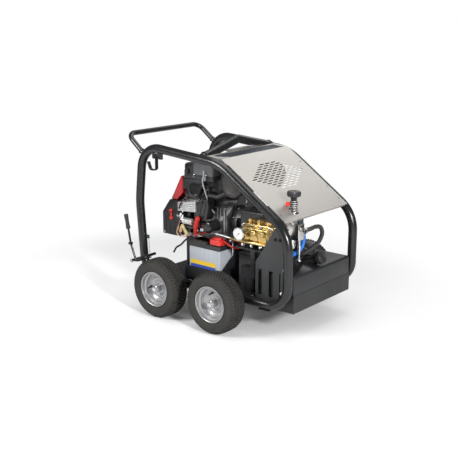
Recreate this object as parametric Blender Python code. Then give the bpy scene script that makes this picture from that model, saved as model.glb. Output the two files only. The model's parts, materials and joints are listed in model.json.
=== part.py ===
"""Cold-water pressure washer on a four-wheel tube frame, driven by a V-twin petrol engine.

Units are metres, +Z up, +X towards the front (tank) end, -Y is the left side.
Stations along the machine are measured forwards from the rear axle and turned
into model X by at().  The model's origin lies on the floor, under the middle of
the overall box.
"""
import math

import bmesh
import bpy
from mathutils import Matrix, Vector

# ---- driving dimensions ------------------------------------------------------
GAP = 0.0003                 # clearance left between pieces that seat on each other
OVERALL_LENGTH = 1.166       # push handle to front posts
REAR_AXLE_X = -0.2245        # model X of station 0

TUBE_R = 0.0242              # frame tube, 48.3 mm outside
TUBE_SIDES = 12
RAIL_Y = 0.305               # centre of each side frame
RAIL_Z = 0.178               # centre of the bottom runs
POST_X = OVERALL_LENGTH / 2 - TUBE_R - REAR_AXLE_X   # station of the front posts
REAR_FOOT_X = -0.2238        # rear bottom corner
KNEE = (-0.256, 0.604)       # slight kink in the rear posts (station, z)
SHOULDER = (-0.2212, 0.9244)  # rear top corner
BROW = (0.336, 0.8776)       # corner between top run and slope
CHIN_Z = 0.572               # height of the corner between slope and front post
FOOT_BEND = 0.12
CHIN_BEND = 0.19
BROW_BEND = 0.28
SHOULDER_BEND = 0.13
KNEE_BEND = 0.50

HANDLE_R = 0.0145            # push handle tube, 29 mm outside
HANDLE_TOP = (0.976, 0.302)  # height and half width of its grip bar
HANDLE_FOOT = (-0.212, 0.872)  # where its legs meet the side frames (station, z)
HANDLE_BEND = 0.055

BOW_X = 0.214                # lifting bow
BOW_TOP_Z = 0.966
BOW_FOOT_Z = 0.895
BOW_BEND = 0.05

WHEEL_R = 0.165
WHEELBASE = 0.402
TYRE_CLEAR = 0.006           # between an axle boss and the tyre
TYRE_HALF_W = 0.060
TYRE_STEPS = 20             # a multiple of 4, so that a flat lies on the floor
CROWN_HALF_W = 0.036
LUG_DEPTH = 0.0045
RIM_R = 0.0965               # rim flange
BEAD_R = 0.0780              # barrel that the tyre sits on
RIM_HALF_W = 0.0520
RIM_STEPS = 12
RIM_WALL = 0.0030
HUB_R = 0.0200
HUB_OUT = 0.0440             # hub end, measured from the wheel's centre plane
AXLE_R = 0.0100
AXLE_SIDES = 10
AXLE_BORE_GAP = 0.0003
BOSS_R = 0.0190
BOSS_INWARD = 0.027          # axle bosses, each way from the tubes' centre lines
BOSS_OUTWARD = 0.045

SHEET = 0.0015               # hood sheet
HOOD_EDGE_INSET = 0.011      # side edges lie this far inside the tubes' centre lines
HOOD_REAR_X = 0.195
HOOD_NOTCH_X = 0.242         # rear corners are cut back to here, clear of the bow
HOOD_NOTCH_Y = 0.100
HOOD_FRONT_X = 0.750
HOOD_LIP = 0.012
VALVE_HOLE_R = 0.026         # hole in the hood for the regulator
HOOD_BEND = 0.010
SLOT_LENGTH = 0.038
SLOT_WIDTH = 0.0060
SLOT_PITCH = 0.051
SLOT_ROW_PITCH = 0.0152
SLOT_ROWS = 13
SLOT_MIDDLE_COUNT = 9
VENT_DOWN = 0.181            # from the hood's bend to the vent's middle row

PLATE = 0.003                # chassis plate
PLATE_REAR_X = -0.157
PLATE_FRONT_X = 0.545
PLATE_HALF_W = 0.300
PLATE_FLANGE = 0.022

BOX_REAR_X = 0.555           # box that holds the fuel tank
BOX_NOSE = 0.0107            # its front face, before the posts' centre lines
BOX_SIDE_CLEAR = 0.0115      # between the box and each gusset
BOX_BOTTOM_Z = 0.146
BOX_TOP_Z = 0.241
BOX_WALL = 0.0025
EAR_X = 0.610                # ears under the bottom runs
EAR_LENGTH = 0.070

TANK_TOP_Z = 0.342
TANK_ROUND = 0.022
NECK_SET_BACK = 0.094        # filler neck's foot, behind the box's front face
NECK_Y = 0.005
NECK_TILT = math.radians(28)  # above the horizontal, pointing forwards
NECK_LENGTH = 0.082
NECK_R = 0.024
CAP_R = 0.036
CAP_THICK = 0.026

GUSSET = 0.003
GUSSET_LENGTH = 0.2143       # back from its front edge
GUSSET_SET_BACK = 0.010      # front edge, behind the posts' centre lines

BATTERY_X = (0.105, 0.325)
BATTERY_Y = (-0.290, -0.160)
BATTERY_TOP_Z = 0.398
BATTERY_LID = 0.030
TRAY_WALL = 0.0025
TRAY_ROOM = 0.012            # between battery and tray walls
TRAY_LIP_Z = 0.285
TRAY_BACK_Z = 0.392
BOOT_Y = -0.2095             # boot over the starter's terminal

SHAFT_Z = 0.505              # crankshaft and pump shaft
SHAFT_R = 0.016
ENGINE_BASE_Z = 0.405
CRADLE_REAR_X = -0.053
CRANKCASE_X = (-0.055, 0.232)
CRANKCASE_HALF_W = 0.118
FOOT_HALF_W = 0.150
CASE_TOP_Z = 0.610
SIDE_BOSS_Y = 0.126          # face that the oil filter screws on
CYLINDER_TILT = math.radians(45)
CYLINDER_X = (0.045, 0.095)  # left and right cylinder stations
FIN_COUNT = 7
FIN_SIZE = (0.062, 0.056)    # half length along X, half width
FIN_CORE = (0.044, 0.040)
FIN_PITCH = 0.0135
FIN_THICK = 0.0045
CYLINDER_START = 0.108       # distance of the cylinder foot from the crank axis
COVER_HEIGHT = 0.034

BLOWER_X = (-0.190, -0.062)
BLOWER_HALF_W = 0.188
BLOWER_Z = (0.400, 0.588)
BLOWER_WALL = 0.003
INTAKE_R = 0.070
FAN_R = 0.064
FAN_BLADES = 8

MUFFLER_X = 0.289
MUFFLER_Z = 0.742
MUFFLER_R = 0.078
MUFFLER_Y = (-0.150, 0.250)
PIPE_R = 0.0150

BELL_R = (0.086, 0.074)
PUMP_X = (0.336, 0.612)
PUMP_Y = (-0.136, 0.086)
PUMP_Z = (0.438, 0.606)
HEAD_X = (0.432, 0.612)
HEAD_Y = (-0.246, -0.1363)
HEAD_Z = (0.468, 0.566)
VALVE_PITCH = 0.058
VALVE_CAP_R = 0.0195
INLET_BAR = (-0.2595, 0.4745)  # Y and Z of the inlet bar along the head
INLET_BAR_R = 0.0085

GAUGE = (0.460, 0.522)       # station and Z of the dial's centre
GAUGE_R = 0.0345
GAUGE_FACE_Y = -0.302
GAUGE_DEPTH = 0.026

VALVE_AT = (0.700, -0.147)   # unloader axis
VALVE_BODY_Z = (0.505, 0.592)
KNOB_Z = (0.728, 0.757)
KNOB_R = 0.0365
KNOB_RIBS = 12

BRAKE_AT = (-0.165, 0.300)   # brake shaft, station and Z
BRAKE_SHAFT_R = 0.0080
ROD_R = 0.0060
GRIP_R = 0.0125
BRAKE_SHOE_REACH = 0.048
BRAKE_LEVER_OUT = 0.036      # lever's rod, outside the tyre's middle plane

rear_axle_z = WHEEL_R
boss_inner_y = RAIL_Y - BOSS_INWARD
boss_outer_y = RAIL_Y + BOSS_OUTWARD
wheel_y = boss_outer_y + TYRE_CLEAR + TYRE_HALF_W    # tyre centre planes


def at(station, y, z):
    """Point from a station, Y and Z."""
    return Vector((REAR_AXLE_X + station, y, z))


# ---- making solids -----------------------------------------------------------
def paint(obj, colour, roughness, metallic=0.0):
    """Give an object its own Principled material."""
    mat = bpy.data.materials.new(obj.name + "_finish")
    mat.use_nodes = True
    shader = mat.node_tree.nodes["Principled BSDF"]
    shader.inputs["Base Color"].default_value = (*colour, 1.0)
    shader.inputs["Roughness"].default_value = roughness
    shader.inputs["Metallic"].default_value = metallic
    obj.data.materials.clear()
    obj.data.materials.append(mat)
    return obj


def object_from(name, bm, smooth_angle=35.0):
    """Object from a closed bmesh, with outward faces and crisp edges kept."""
    bmesh.ops.recalc_face_normals(bm, faces=bm.faces)
    mesh = bpy.data.meshes.new(name)
    bm.to_mesh(mesh)
    bm.free()
    mesh.shade_smooth()
    mesh.set_sharp_from_angle(angle=math.radians(smooth_angle))
    obj = bpy.data.objects.new(name, mesh)
    bpy.context.scene.collection.objects.link(obj)
    return obj


def move_origin(obj, point):
    """Put an object's origin on a point, with its shape left where it is."""
    obj.data.transform(Matrix.Translation(-(point - obj.location)))
    obj.location = point
    return obj


def combine(target, tools, operation):
    """Boolean the target with each tool in turn, and use the tools up."""
    for tool in tools:
        step = target.modifiers.new("step", "BOOLEAN")
        step.operation = operation
        step.solver = "EXACT"
        step.object = tool
        depsgraph = bpy.context.evaluated_depsgraph_get()
        result = bpy.data.meshes.new_from_object(target.evaluated_get(depsgraph))
        target.modifiers.remove(step)
        target.data = result
        bpy.data.objects.remove(tool, do_unlink=True)
    target.data.shade_smooth()
    target.data.set_sharp_from_angle(angle=math.radians(35))
    return target


def cut(target, *tools):
    return combine(target, tools, "DIFFERENCE")


def fuse(target, *tools):
    return combine(target, tools, "UNION")


def skin_rings(bm, rings, closed=False):
    """Bridge a list of vertex rings with quads, and cap the ends of an open row."""
    count = len(rings[0])
    pairs = list(zip(rings, rings[1:]))
    if closed:
        pairs.append((rings[-1], rings[0]))
    for first, second in pairs:
        for i in range(count):
            j = (i + 1) % count
            bm.faces.new((first[i], first[j], second[j], second[i]))
    if not closed:
        bm.faces.new(rings[0])
        bm.faces.new(rings[-1])


def filleted(corners, closed=False, step=math.radians(22.5)):
    """Path through corners given as (point, bend radius), with arcs at the corners."""
    points = []
    count = len(corners)
    for i, (corner, radius) in enumerate(corners):
        corner = Vector(corner)
        if not closed and i in (0, count - 1):
            points.append(corner)
            continue
        back = (Vector(corners[i - 1][0]) - corner).normalized()
        ahead = (Vector(corners[(i + 1) % count][0]) - corner).normalized()
        half = back.angle(ahead) / 2
        centre = corner + (back + ahead).normalized() * radius / math.sin(half)
        start = corner + back * radius / math.tan(half) - centre
        turn = math.pi - 2 * half
        axis = start.cross(-back).normalized()
        pieces = max(2, math.ceil(turn / step - 0.01))
        for k in range(pieces + 1):
            points.append(centre + Matrix.Rotation(turn * k / pieces, 3, axis) @ start)
    return points


def swept(name, path, radius, side, sides=TUBE_SIDES, closed=False):
    """Round bar or tube along a path; side is a direction across its first stretch."""
    bm = bmesh.new()
    rings = []
    normal = Vector(side)
    count = len(path)
    for i, point in enumerate(path):
        before = path[i - 1] if closed or i > 0 else path[0]
        after = path[(i + 1) % count] if closed or i < count - 1 else path[-1]
        incoming = (point - before).normalized()
        outgoing = (after - point).normalized()
        tangent = (incoming + outgoing).normalized()
        normal = (normal - tangent * normal.dot(tangent)).normalized()
        across = tangent.cross(normal)
        ring = []
        for k in range(sides):
            angle = math.tau * k / sides
            offset = normal * math.cos(angle) + across * math.sin(angle)
            ring.append(bm.verts.new(point + offset * radius))
        rings.append(ring)
    skin_rings(bm, rings, closed)
    return object_from(name, bm)


def hose(name, start, start_dir, middle, end, end_dir, radius, lead=0.006, steps=2):
    """Hose on a smooth curve, straight for a short lead at each end fitting."""
    first = start + Vector(start_dir) * lead
    last = end + Vector(end_dir) * lead
    route = [start, first] + middle + [last, end]
    path = [start]
    for i in range(1, len(route) - 2):
        a, b, c, d = route[i - 1:i + 3]
        for k in range(steps):
            t = k / steps
            path.append(0.5 * (2 * b + (c - a) * t + (2 * a - 5 * b + 4 * c - d) * t ** 2
                               + (3 * b - a - 3 * c + d) * t ** 3))
    path += [last, end]
    curve = bpy.data.curves.new(name, "CURVE")
    curve.dimensions = "3D"
    curve.bevel_depth = radius
    curve.bevel_resolution = 2
    curve.use_fill_caps = True
    spline = curve.splines.new("POLY")
    spline.points.add(len(path) - 1)
    for point, place in zip(spline.points, path):
        point.co = (*place, 1)
    obj = bpy.data.objects.new(name, curve)
    bpy.context.scene.collection.objects.link(obj)
    return obj


def turned(name, profile, centre, axis, steps, ring=False, phase=0.0):
    """Solid of revolution.  profile holds (radius, distance along the axis).

    With ring set the profile is a closed outline that stays clear of the axis,
    and otherwise it runs from one end on the axis to the other.
    """
    bm = bmesh.new()
    along = Vector(axis).normalized()
    spin_x = along.orthogonal().normalized()
    if abs(along.z) < 0.99:
        spin_x = along.cross(Vector((0, 0, 1))).normalized()
    spin_y = along.cross(spin_x)
    columns = []
    for k in range(steps):
        angle = math.tau * k / steps + phase
        radial = spin_x * math.cos(angle) + spin_y * math.sin(angle)
        columns.append((k, radial))
    rows = []
    for radius, distance in profile:
        base = Vector(centre) + along * distance
        if radius == 0:
            rows.append([bm.verts.new(base)] * steps)
        else:
            rows.append([bm.verts.new(base + radial * radius) for _, radial in columns])
    pairs = list(zip(rows, rows[1:]))
    if ring:
        pairs.append((rows[-1], rows[0]))
    for first, second in pairs:
        for i in range(steps):
            j = (i + 1) % steps
            corners = []
            for vert in (first[i], first[j], second[j], second[i]):
                if vert not in corners:
                    corners.append(vert)
            if len(corners) > 2:
                bm.faces.new(corners)
    return object_from(name, bm)


def drum(name, centre, axis, radius, length, steps=20, rim=0.0):
    """Round bar from centre along axis, with a chamfer at each end if rim is set."""
    if rim:
        profile = [(0, 0), (radius - rim, 0), (radius, rim), (radius, length - rim),
                   (radius - rim, length), (0, length)]
    else:
        profile = [(0, 0), (radius, 0), (radius, length), (0, length)]
    return turned(name, profile, centre, axis, steps)


def block(name, low, high, bevel=0.0, segments=2):
    """Rectangular block between two corners, with its edges rounded if bevel is set."""
    bm = bmesh.new()
    low, high = Vector(low), Vector(high)
    size = high - low
    middle = (low + high) / 2
    bmesh.ops.create_cube(bm, size=1.0, matrix=Matrix.Translation(middle) @ Matrix.Diagonal((*size, 1)))
    if bevel:
        bmesh.ops.bevel(bm, geom=bm.edges[:], offset=bevel, segments=segments, profile=0.5,
                        affect="EDGES")
    return object_from(name, bm)


def station_block(name, x, y, z, bevel=0.0, segments=2):
    """Block given by its ranges of station, Y and Z."""
    return block(name, at(x[0], y[0], z[0]), at(x[1], y[1], z[1]), bevel, segments)


def slab(name, outline, low, high, across="Y", bevel=0.0):
    """Plate with an outline, extruded from low to high.

    across is the direction of its thickness: for Y the outline is (station, Z),
    for X it is (Y, Z) and low and high are stations, for Z it is (station, Y).
    """
    place = {
        "Y": lambda u, v, w: at(u, w, v),
        "X": lambda u, v, w: at(w, u, v),
        "Z": lambda u, v, w: at(u, v, w),
    }[across]
    bm = bmesh.new()
    rings = [[bm.verts.new(place(u, v, w)) for u, v in outline] for w in (low, high)]
    skin_rings(bm, rings)
    if bevel:
        edges = [e for e in bm.edges if len({v in rings[0] for v in e.verts}) == 1]
        bmesh.ops.bevel(bm, geom=edges, offset=bevel, segments=1, profile=0.5, affect="EDGES")
    return object_from(name, bm)


def rounded_outline(corners, radius, pieces=3):
    """Outline through 2-D corners with every corner rounded."""
    flat = [((u, 0.0, v), radius) for u, v in corners]
    step = math.pi / 2 / pieces
    return [(p.x, p.z) for p in filleted(flat, closed=True, step=step)]


def hexagon(radius, turn=0.0):
    return [(radius * math.cos(math.radians(60 * k) + turn), radius * math.sin(math.radians(60 * k) + turn))
            for k in range(6)]


for leftover in list(bpy.data.objects):
    bpy.data.objects.remove(leftover, do_unlink=True)


# ---- frame -------------------------------------------------------------------
def side_path(y):
    """Centreline of a side frame: one closed loop of bent tube."""
    corners = [
        (at(REAR_FOOT_X, y, RAIL_Z), FOOT_BEND),
        (at(POST_X, y, RAIL_Z), FOOT_BEND),
        (at(POST_X, y, CHIN_Z), CHIN_BEND),
        (at(BROW[0], y, BROW[1]), BROW_BEND),
        (at(SHOULDER[0], y, SHOULDER[1]), SHOULDER_BEND),
        (at(KNEE[0], y, KNEE[1]), KNEE_BEND),
    ]
    return filleted(corners, closed=True)


def side_tube(name, side, extra=0.0):
    return swept(name, side_path(side * RAIL_Y), TUBE_R + extra, (0, 1, 0), closed=True)


def make_side_frame(name, side):
    """Side frame with the axle bosses welded through its bottom run."""
    frame = side_tube(name, side)
    bosses = []
    bores = []
    for station in (0.0, WHEELBASE):
        start = at(station, side * boss_inner_y, rear_axle_z)
        length = boss_outer_y - boss_inner_y
        bosses.append(drum("boss", start, (0, side, 0), BOSS_R, length, 10))
        inner = at(station, side * (boss_inner_y - 0.02), rear_axle_z)
        bores.append(drum("bore", inner, (0, side, 0), AXLE_R + AXLE_BORE_GAP, length + 0.04, AXLE_SIDES))
    fuse(frame, *bosses)
    if side < 0:
        add_brake_bearing(frame)
    cut(frame, *bores)
    return paint(frame, (0.012, 0.012, 0.013), 0.32)


def add_brake_bearing(frame):
    """Bearing sleeve for the brake shaft, on an arm welded to the rear post."""
    x, z = BRAKE_AT
    inner, outer = -0.288, -0.345
    sleeve = drum("sleeve", at(x, inner, z), (0, -1, 0), 0.0135, inner - outer, 16)
    post_x = KNEE[0] + (REAR_FOOT_X - KNEE[0]) * (KNEE[1] - z) / (KNEE[1] - RAIL_Z)
    arm = slab("arm", [(post_x, z - 0.026), (x, z - 0.012), (x, z + 0.012), (post_x, z + 0.026)],
               -RAIL_Y - 0.004, -RAIL_Y + 0.004)
    fuse(frame, sleeve, arm)
    cut(frame, drum("bore", at(x, inner + 0.02, z), (0, -1, 0), BRAKE_SHAFT_R + GAP, inner - outer + 0.04, 16))


make_side_frame("side_frame_left", -1)
make_side_frame("side_frame_right", 1)


def trimmed_to_sides(obj):
    """Saddle-cut a cross tube where it meets the two side frames."""
    return cut(obj, side_tube("trim", -1, GAP), side_tube("trim", 1, GAP))


def make_push_handle():
    top_z, half_w = HANDLE_TOP
    back = -OVERALL_LENGTH / 2 + HANDLE_R - REAR_AXLE_X
    foot_x, foot_z = HANDLE_FOOT
    corners = [
        (at(foot_x, -RAIL_Y, foot_z), 0),
        (at(back, -half_w, top_z), HANDLE_BEND),
        (at(back, half_w, top_z), HANDLE_BEND),
        (at(foot_x, RAIL_Y, foot_z), 0),
    ]
    handle = swept("push_handle", filleted(corners), HANDLE_R, (0, 1, 0), 10)
    trimmed_to_sides(handle)
    return paint(handle, (0.012, 0.012, 0.013), 0.32)


def make_lifting_bow():
    """Peaked bow over the engine, the point that a hoist lifts the machine by."""
    end_y = RAIL_Y - 0.006
    corners = [
        (at(BOW_X, -end_y, BOW_FOOT_Z), 0),
        (at(BOW_X, 0, BOW_TOP_Z), BOW_BEND),
        (at(BOW_X, end_y, BOW_FOOT_Z), 0),
    ]
    bow = swept("lifting_bow", filleted(corners, step=math.radians(8)), TUBE_R, (1, 0, 0))
    trimmed_to_sides(bow)
    return paint(bow, (0.012, 0.012, 0.013), 0.32)


def make_hose_hook():
    """Plate clamped to the left top run, with a J strip that coiled hose hangs on."""
    y = -RAIL_Y
    plate = slab("hose_hook", rounded_outline([(-0.150, 0.855), (-0.070, 0.855), (-0.070, 0.902),
                                              (-0.150, 0.902)], 0.006, 2), y - 0.002, y + 0.002)
    spine = [(-0.118, 0.868), (-0.118, 0.792), (-0.163, 0.792), (-0.181, 0.835)]
    bends = (0, 0.016, 0.016, 0)
    path = filleted([(at(x, y, z), r) for (x, z), r in zip(spine, bends)], step=math.radians(22))
    strip = bmesh.new()
    rings = []
    for i, point in enumerate(path):
        ahead = (path[min(i + 1, len(path) - 1)] - path[max(i - 1, 0)]).normalized()
        out = Vector((-ahead.z, 0, ahead.x)) * 0.003
        wide = Vector((0, 0.010, 0))
        rings.append([strip.verts.new(point + a * out + b * wide)
                      for a, b in ((-1, -1), (1, -1), (1, 1), (-1, 1))])
    skin_rings(strip, rings)
    fuse(plate, object_from("strip", strip))
    bolt = drum("bolt", at(-0.1340, y + 0.007, 0.8700), (0, -1, 0), 0.008, 0.014, 6)
    fuse(plate, bolt)
    cut(plate, side_tube("trim", -1, GAP))
    return paint(plate, (0.03, 0.03, 0.032), 0.4, 0.3)


make_push_handle()
make_lifting_bow()
make_hose_hook()


# ---- hood --------------------------------------------------------------------
slope_dir = Vector((POST_X - BROW[0], CHIN_Z - BROW[1])).normalized()
top_dir = Vector((BROW[0] - SHOULDER[0], BROW[1] - SHOULDER[1])).normalized()
slope_up = Vector((-slope_dir.y, slope_dir.x))
top_up = Vector((-top_dir.y, top_dir.x))
hood_rest = math.sqrt(TUBE_R ** 2 - HOOD_EDGE_INSET ** 2) + GAP
hood_half_w = RAIL_Y - HOOD_EDGE_INSET


def meet(point_a, dir_a, point_b, dir_b):
    """Crossing of two lines in a plane."""
    scale = (point_b - point_a).cross(dir_b) / dir_a.cross(dir_b)
    return point_a + dir_a * scale


def hood_corner(height):
    """Hood's bend, for a surface this far above the tube centres."""
    brow = Vector(BROW)
    return meet(brow + top_up * height, top_dir, brow + slope_up * height, slope_dir)


def hood_line(height):
    """Rear edge, bend and front lip of a surface at this height over the tubes."""
    corner = hood_corner(height)
    rear = corner + top_dir * (HOOD_REAR_X - corner.x) / top_dir.x
    front = corner + slope_dir * (HOOD_FRONT_X - corner.x) / slope_dir.x
    return rear, corner, front


def sheet_line(points, bend):
    """Points of one face of the folded sheet, with its bend rounded."""
    first, corner, last = [(p.x, 0.0, p.y) for p in points]
    return [(p.x, p.z) for p in filleted([(first, 0), (corner, bend), (last, 0)])]


def hood_point(down, y, lift=0.0):
    """Point on the hood's sloping face, this far below the bend."""
    spot = hood_corner(hood_rest + SHEET + lift) + slope_dir * down
    return at(spot.x, y, spot.y)


def vent_cutter():
    """Staggered slots of the lozenge-shaped vent, as one cutter."""
    bm = bmesh.new()
    mid_row = SLOT_ROWS // 2
    up = Vector((slope_up.x, 0, slope_up.y))
    down = Vector((slope_dir.x, 0, slope_dir.y))
    across = Vector((0, 1, 0))
    for row in range(SLOT_ROWS):
        count = SLOT_MIDDLE_COUNT - abs(row - mid_row)
        for k in range(count):
            y = (k - (count - 1) / 2) * SLOT_PITCH
            middle = hood_point(VENT_DOWN + (row - mid_row) * SLOT_ROW_PITCH, y)
            frame = Matrix((across * SLOT_LENGTH, down * SLOT_WIDTH, up * 0.02)).transposed().to_4x4()
            bmesh.ops.create_cube(bm, size=1.0, matrix=Matrix.Translation(middle) @ frame)
    return object_from("vent", bm)


def make_hood():
    under = hood_line(hood_rest)
    over = hood_line(hood_rest + SHEET)
    line = sheet_line(under, HOOD_BEND) + sheet_line(over[::-1], HOOD_BEND + SHEET)
    hood = slab("hood_panel", line, -hood_half_w, hood_half_w)
    edge = over[2]
    inner = edge - slope_dir * SHEET
    drop = slope_up * (SHEET + HOOD_LIP)
    middle = slope_up * (SHEET / 2)
    lip = [edge - middle, edge - drop, inner - drop, inner - middle]
    lip_half_w = RAIL_Y - TUBE_R - 0.005
    fuse(hood, slab("lip", [tuple(p) for p in lip], -lip_half_w, lip_half_w))
    notches = []
    for side in (-1, 1):
        inner, outer = side * HOOD_NOTCH_Y, side * (hood_half_w + 0.01)
        outline = [(HOOD_REAR_X - 0.01, inner), (HOOD_NOTCH_X, inner + side * 0.020),
                   (HOOD_NOTCH_X, outer), (HOOD_REAR_X - 0.01, outer)]
        notches.append(slab("notch", outline, 0.85, 0.97, across="Z"))
    cut(hood, *notches)
    valve_x, valve_y = VALVE_AT
    hole = drum("hole", at(valve_x, valve_y, 0.60), (0, 0, 1), VALVE_HOLE_R, 0.12, 20)
    cut(hood, hole)
    cut(hood, vent_cutter())
    return paint(hood, (0.62, 0.60, 0.57), 0.30, 0.9)


make_hood()


# ---- chassis, tank box and tank ----------------------------------------------
box_front_x = POST_X + BOX_NOSE
box_half_w = RAIL_Y - TUBE_R - GAP - GUSSET - BOX_SIDE_CLEAR
neck_base = (box_front_x - NECK_SET_BACK, NECK_Y)


def make_chassis_plate():
    """Folded floor plate that rests on the bottom runs and carries the cradle."""
    low = RAIL_Z + TUBE_R + GAP
    drop = low - PLATE_FLANGE
    inner = RAIL_Y - TUBE_R - 0.004
    plate = station_block("chassis_plate", (PLATE_REAR_X, PLATE_FRONT_X), (-PLATE_HALF_W, PLATE_HALF_W),
                          (low, low + PLATE))
    flanges = [station_block("flange", (x, x + PLATE), (-inner, inner), (drop, low + PLATE / 2))
               for x in (PLATE_REAR_X, PLATE_FRONT_X - PLATE)]
    fuse(plate, *flanges)
    trimmed_to_sides(plate)
    return paint(plate, (0.05, 0.05, 0.052), 0.5, 0.2)


def make_front_box():
    """Open-topped sheet box that holds the tank, on ears under the bottom runs."""
    outline = [(BOX_REAR_X, -box_half_w), (box_front_x, -box_half_w),
               (box_front_x, box_half_w), (BOX_REAR_X, box_half_w)]
    box = slab("front_box", outline, BOX_BOTTOM_Z, BOX_TOP_Z, across="Z")
    wall = BOX_WALL
    hollow = station_block("hollow", (BOX_REAR_X + wall, box_front_x - wall),
                           (-box_half_w + wall, box_half_w - wall), (BOX_BOTTOM_Z + wall, BOX_TOP_Z + 0.02))
    cut(box, hollow)
    ear_top = RAIL_Z - TUBE_R - GAP
    for side in (-1, 1):
        inner, outer = side * (box_half_w - wall / 2), side * (RAIL_Y + 0.018)
        ear = station_block("ear", (EAR_X, EAR_X + EAR_LENGTH), sorted((inner, outer)),
                            (ear_top - 0.004, ear_top))
        fuse(box, ear)
    return paint(box, (0.045, 0.047, 0.050), 0.45)


def make_tank():
    """Moulded fuel tank: its lower half stands in the box, its upper half is flush with it."""
    inset = BOX_WALL + GAP
    floor = BOX_BOTTOM_Z + BOX_WALL + GAP
    seam = BOX_TOP_Z + GAP
    lower = station_block("fuel_tank", (BOX_REAR_X + inset, box_front_x - inset),
                          (-box_half_w + inset, box_half_w - inset), (floor, seam + 0.01))
    top = slab("top", [(BOX_REAR_X, -box_half_w), (box_front_x, -box_half_w), (box_front_x, box_half_w),
                       (BOX_REAR_X, box_half_w)], seam, TANK_TOP_Z, across="Z")
    bm = bmesh.new()
    bm.from_mesh(top.data)
    upper = [e for e in bm.edges if min(v.co.z for v in e.verts) > TANK_TOP_Z - 0.001]
    bmesh.ops.bevel(bm, geom=upper, offset=TANK_ROUND * 0.45, segments=2, profile=0.5, affect="EDGES")
    bm.to_mesh(top.data)
    bm.free()
    fuse(lower, top)
    base_x, base_y = neck_base
    axis = Vector((math.cos(NECK_TILT), 0, math.sin(NECK_TILT)))
    foot = at(base_x, base_y, TANK_TOP_Z + 0.003)
    neck = turned("neck", [(0, -0.055), (NECK_R + 0.004, -0.055), (NECK_R + 0.004, 0.012), (NECK_R, 0.028),
                           (NECK_R, NECK_LENGTH), (0, NECK_LENGTH)], foot, axis, 14)
    fuse(lower, neck)
    return paint(lower, (0.022, 0.023, 0.025), 0.5)


def make_fuel_cap():
    """Ribbed screw cap over the end of the filler neck."""
    axis = Vector((math.cos(NECK_TILT), 0, math.sin(NECK_TILT)))
    neck_end = at(*neck_base, TANK_TOP_Z + 0.003) + axis * NECK_LENGTH
    skirt = 0.012
    back = neck_end - axis * skirt
    over = (NECK_R + GAP) / math.cos(math.pi / 18)
    profile = [(0, skirt + GAP), (over, skirt + GAP), (over, 0), (CAP_R - 0.002, 0), (CAP_R, 0.002),
               (CAP_R, CAP_THICK - 0.003), (CAP_R - 0.003, CAP_THICK), (0.016, CAP_THICK),
               (0.014, CAP_THICK - 0.002), (0, CAP_THICK - 0.002)]
    cap = turned("fuel_cap", profile, back, axis, 18)
    rib_depth(cap, back, axis, CAP_R - 0.0025, 0.0018)
    move_origin(cap, back)
    return paint(cap, (0.02, 0.02, 0.022), 0.55)


def rib_depth(obj, centre, axis, beyond, depth):
    """Draw every other column of a turned piece's outer vertices in, as finger ribs."""
    along = Vector(axis).normalized()
    count = 0
    for vert in obj.data.vertices:
        offset = vert.co - Vector(centre)
        radial = offset - along * offset.dot(along)
        if radial.length > beyond:
            count += 1
            if count % 2:
                vert.co -= radial.normalized() * depth


def make_gusset():
    """Side plate welded inside the front of the left side frame, with cooling slots."""
    outer = -(RAIL_Y - TUBE_R - GAP)
    low_z = RAIL_Z + 0.006
    front = POST_X - GUSSET_SET_BACK
    outline = [(GUSSET_LENGTH, low_z), (0.0863, low_z), (0.0413, 0.205), (0.0083, 0.250), (0, 0.300),
               (0, 0.470), (0.0243, 0.555), (0.0763, 0.608), (0.1763, 0.445), (GUSSET_LENGTH, 0.388)]
    plate = slab("gusset_left", [(front - back, z) for back, z in outline], outer, outer + GUSSET)
    slots = [((0.197, 0.173), (0.215, 0.352)), ((0.128, 0.101), (0.213, 0.352)),
             ((0.061, 0.054), (0.222, 0.352)), ((0.039, 0.028), (0.250, 0.330)),
             ((0.039, 0.030), (0.472, 0.500))]
    for (rear, ahead), z in slots:
        cut(plate, station_block("slot", (front - rear, front - ahead), (outer - 0.02, outer + 0.01), z))
    return paint(plate, (0.05, 0.052, 0.055), 0.42, 0.2)


make_chassis_plate()
make_front_box()
make_tank()
make_fuel_cap()
make_gusset()


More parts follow.
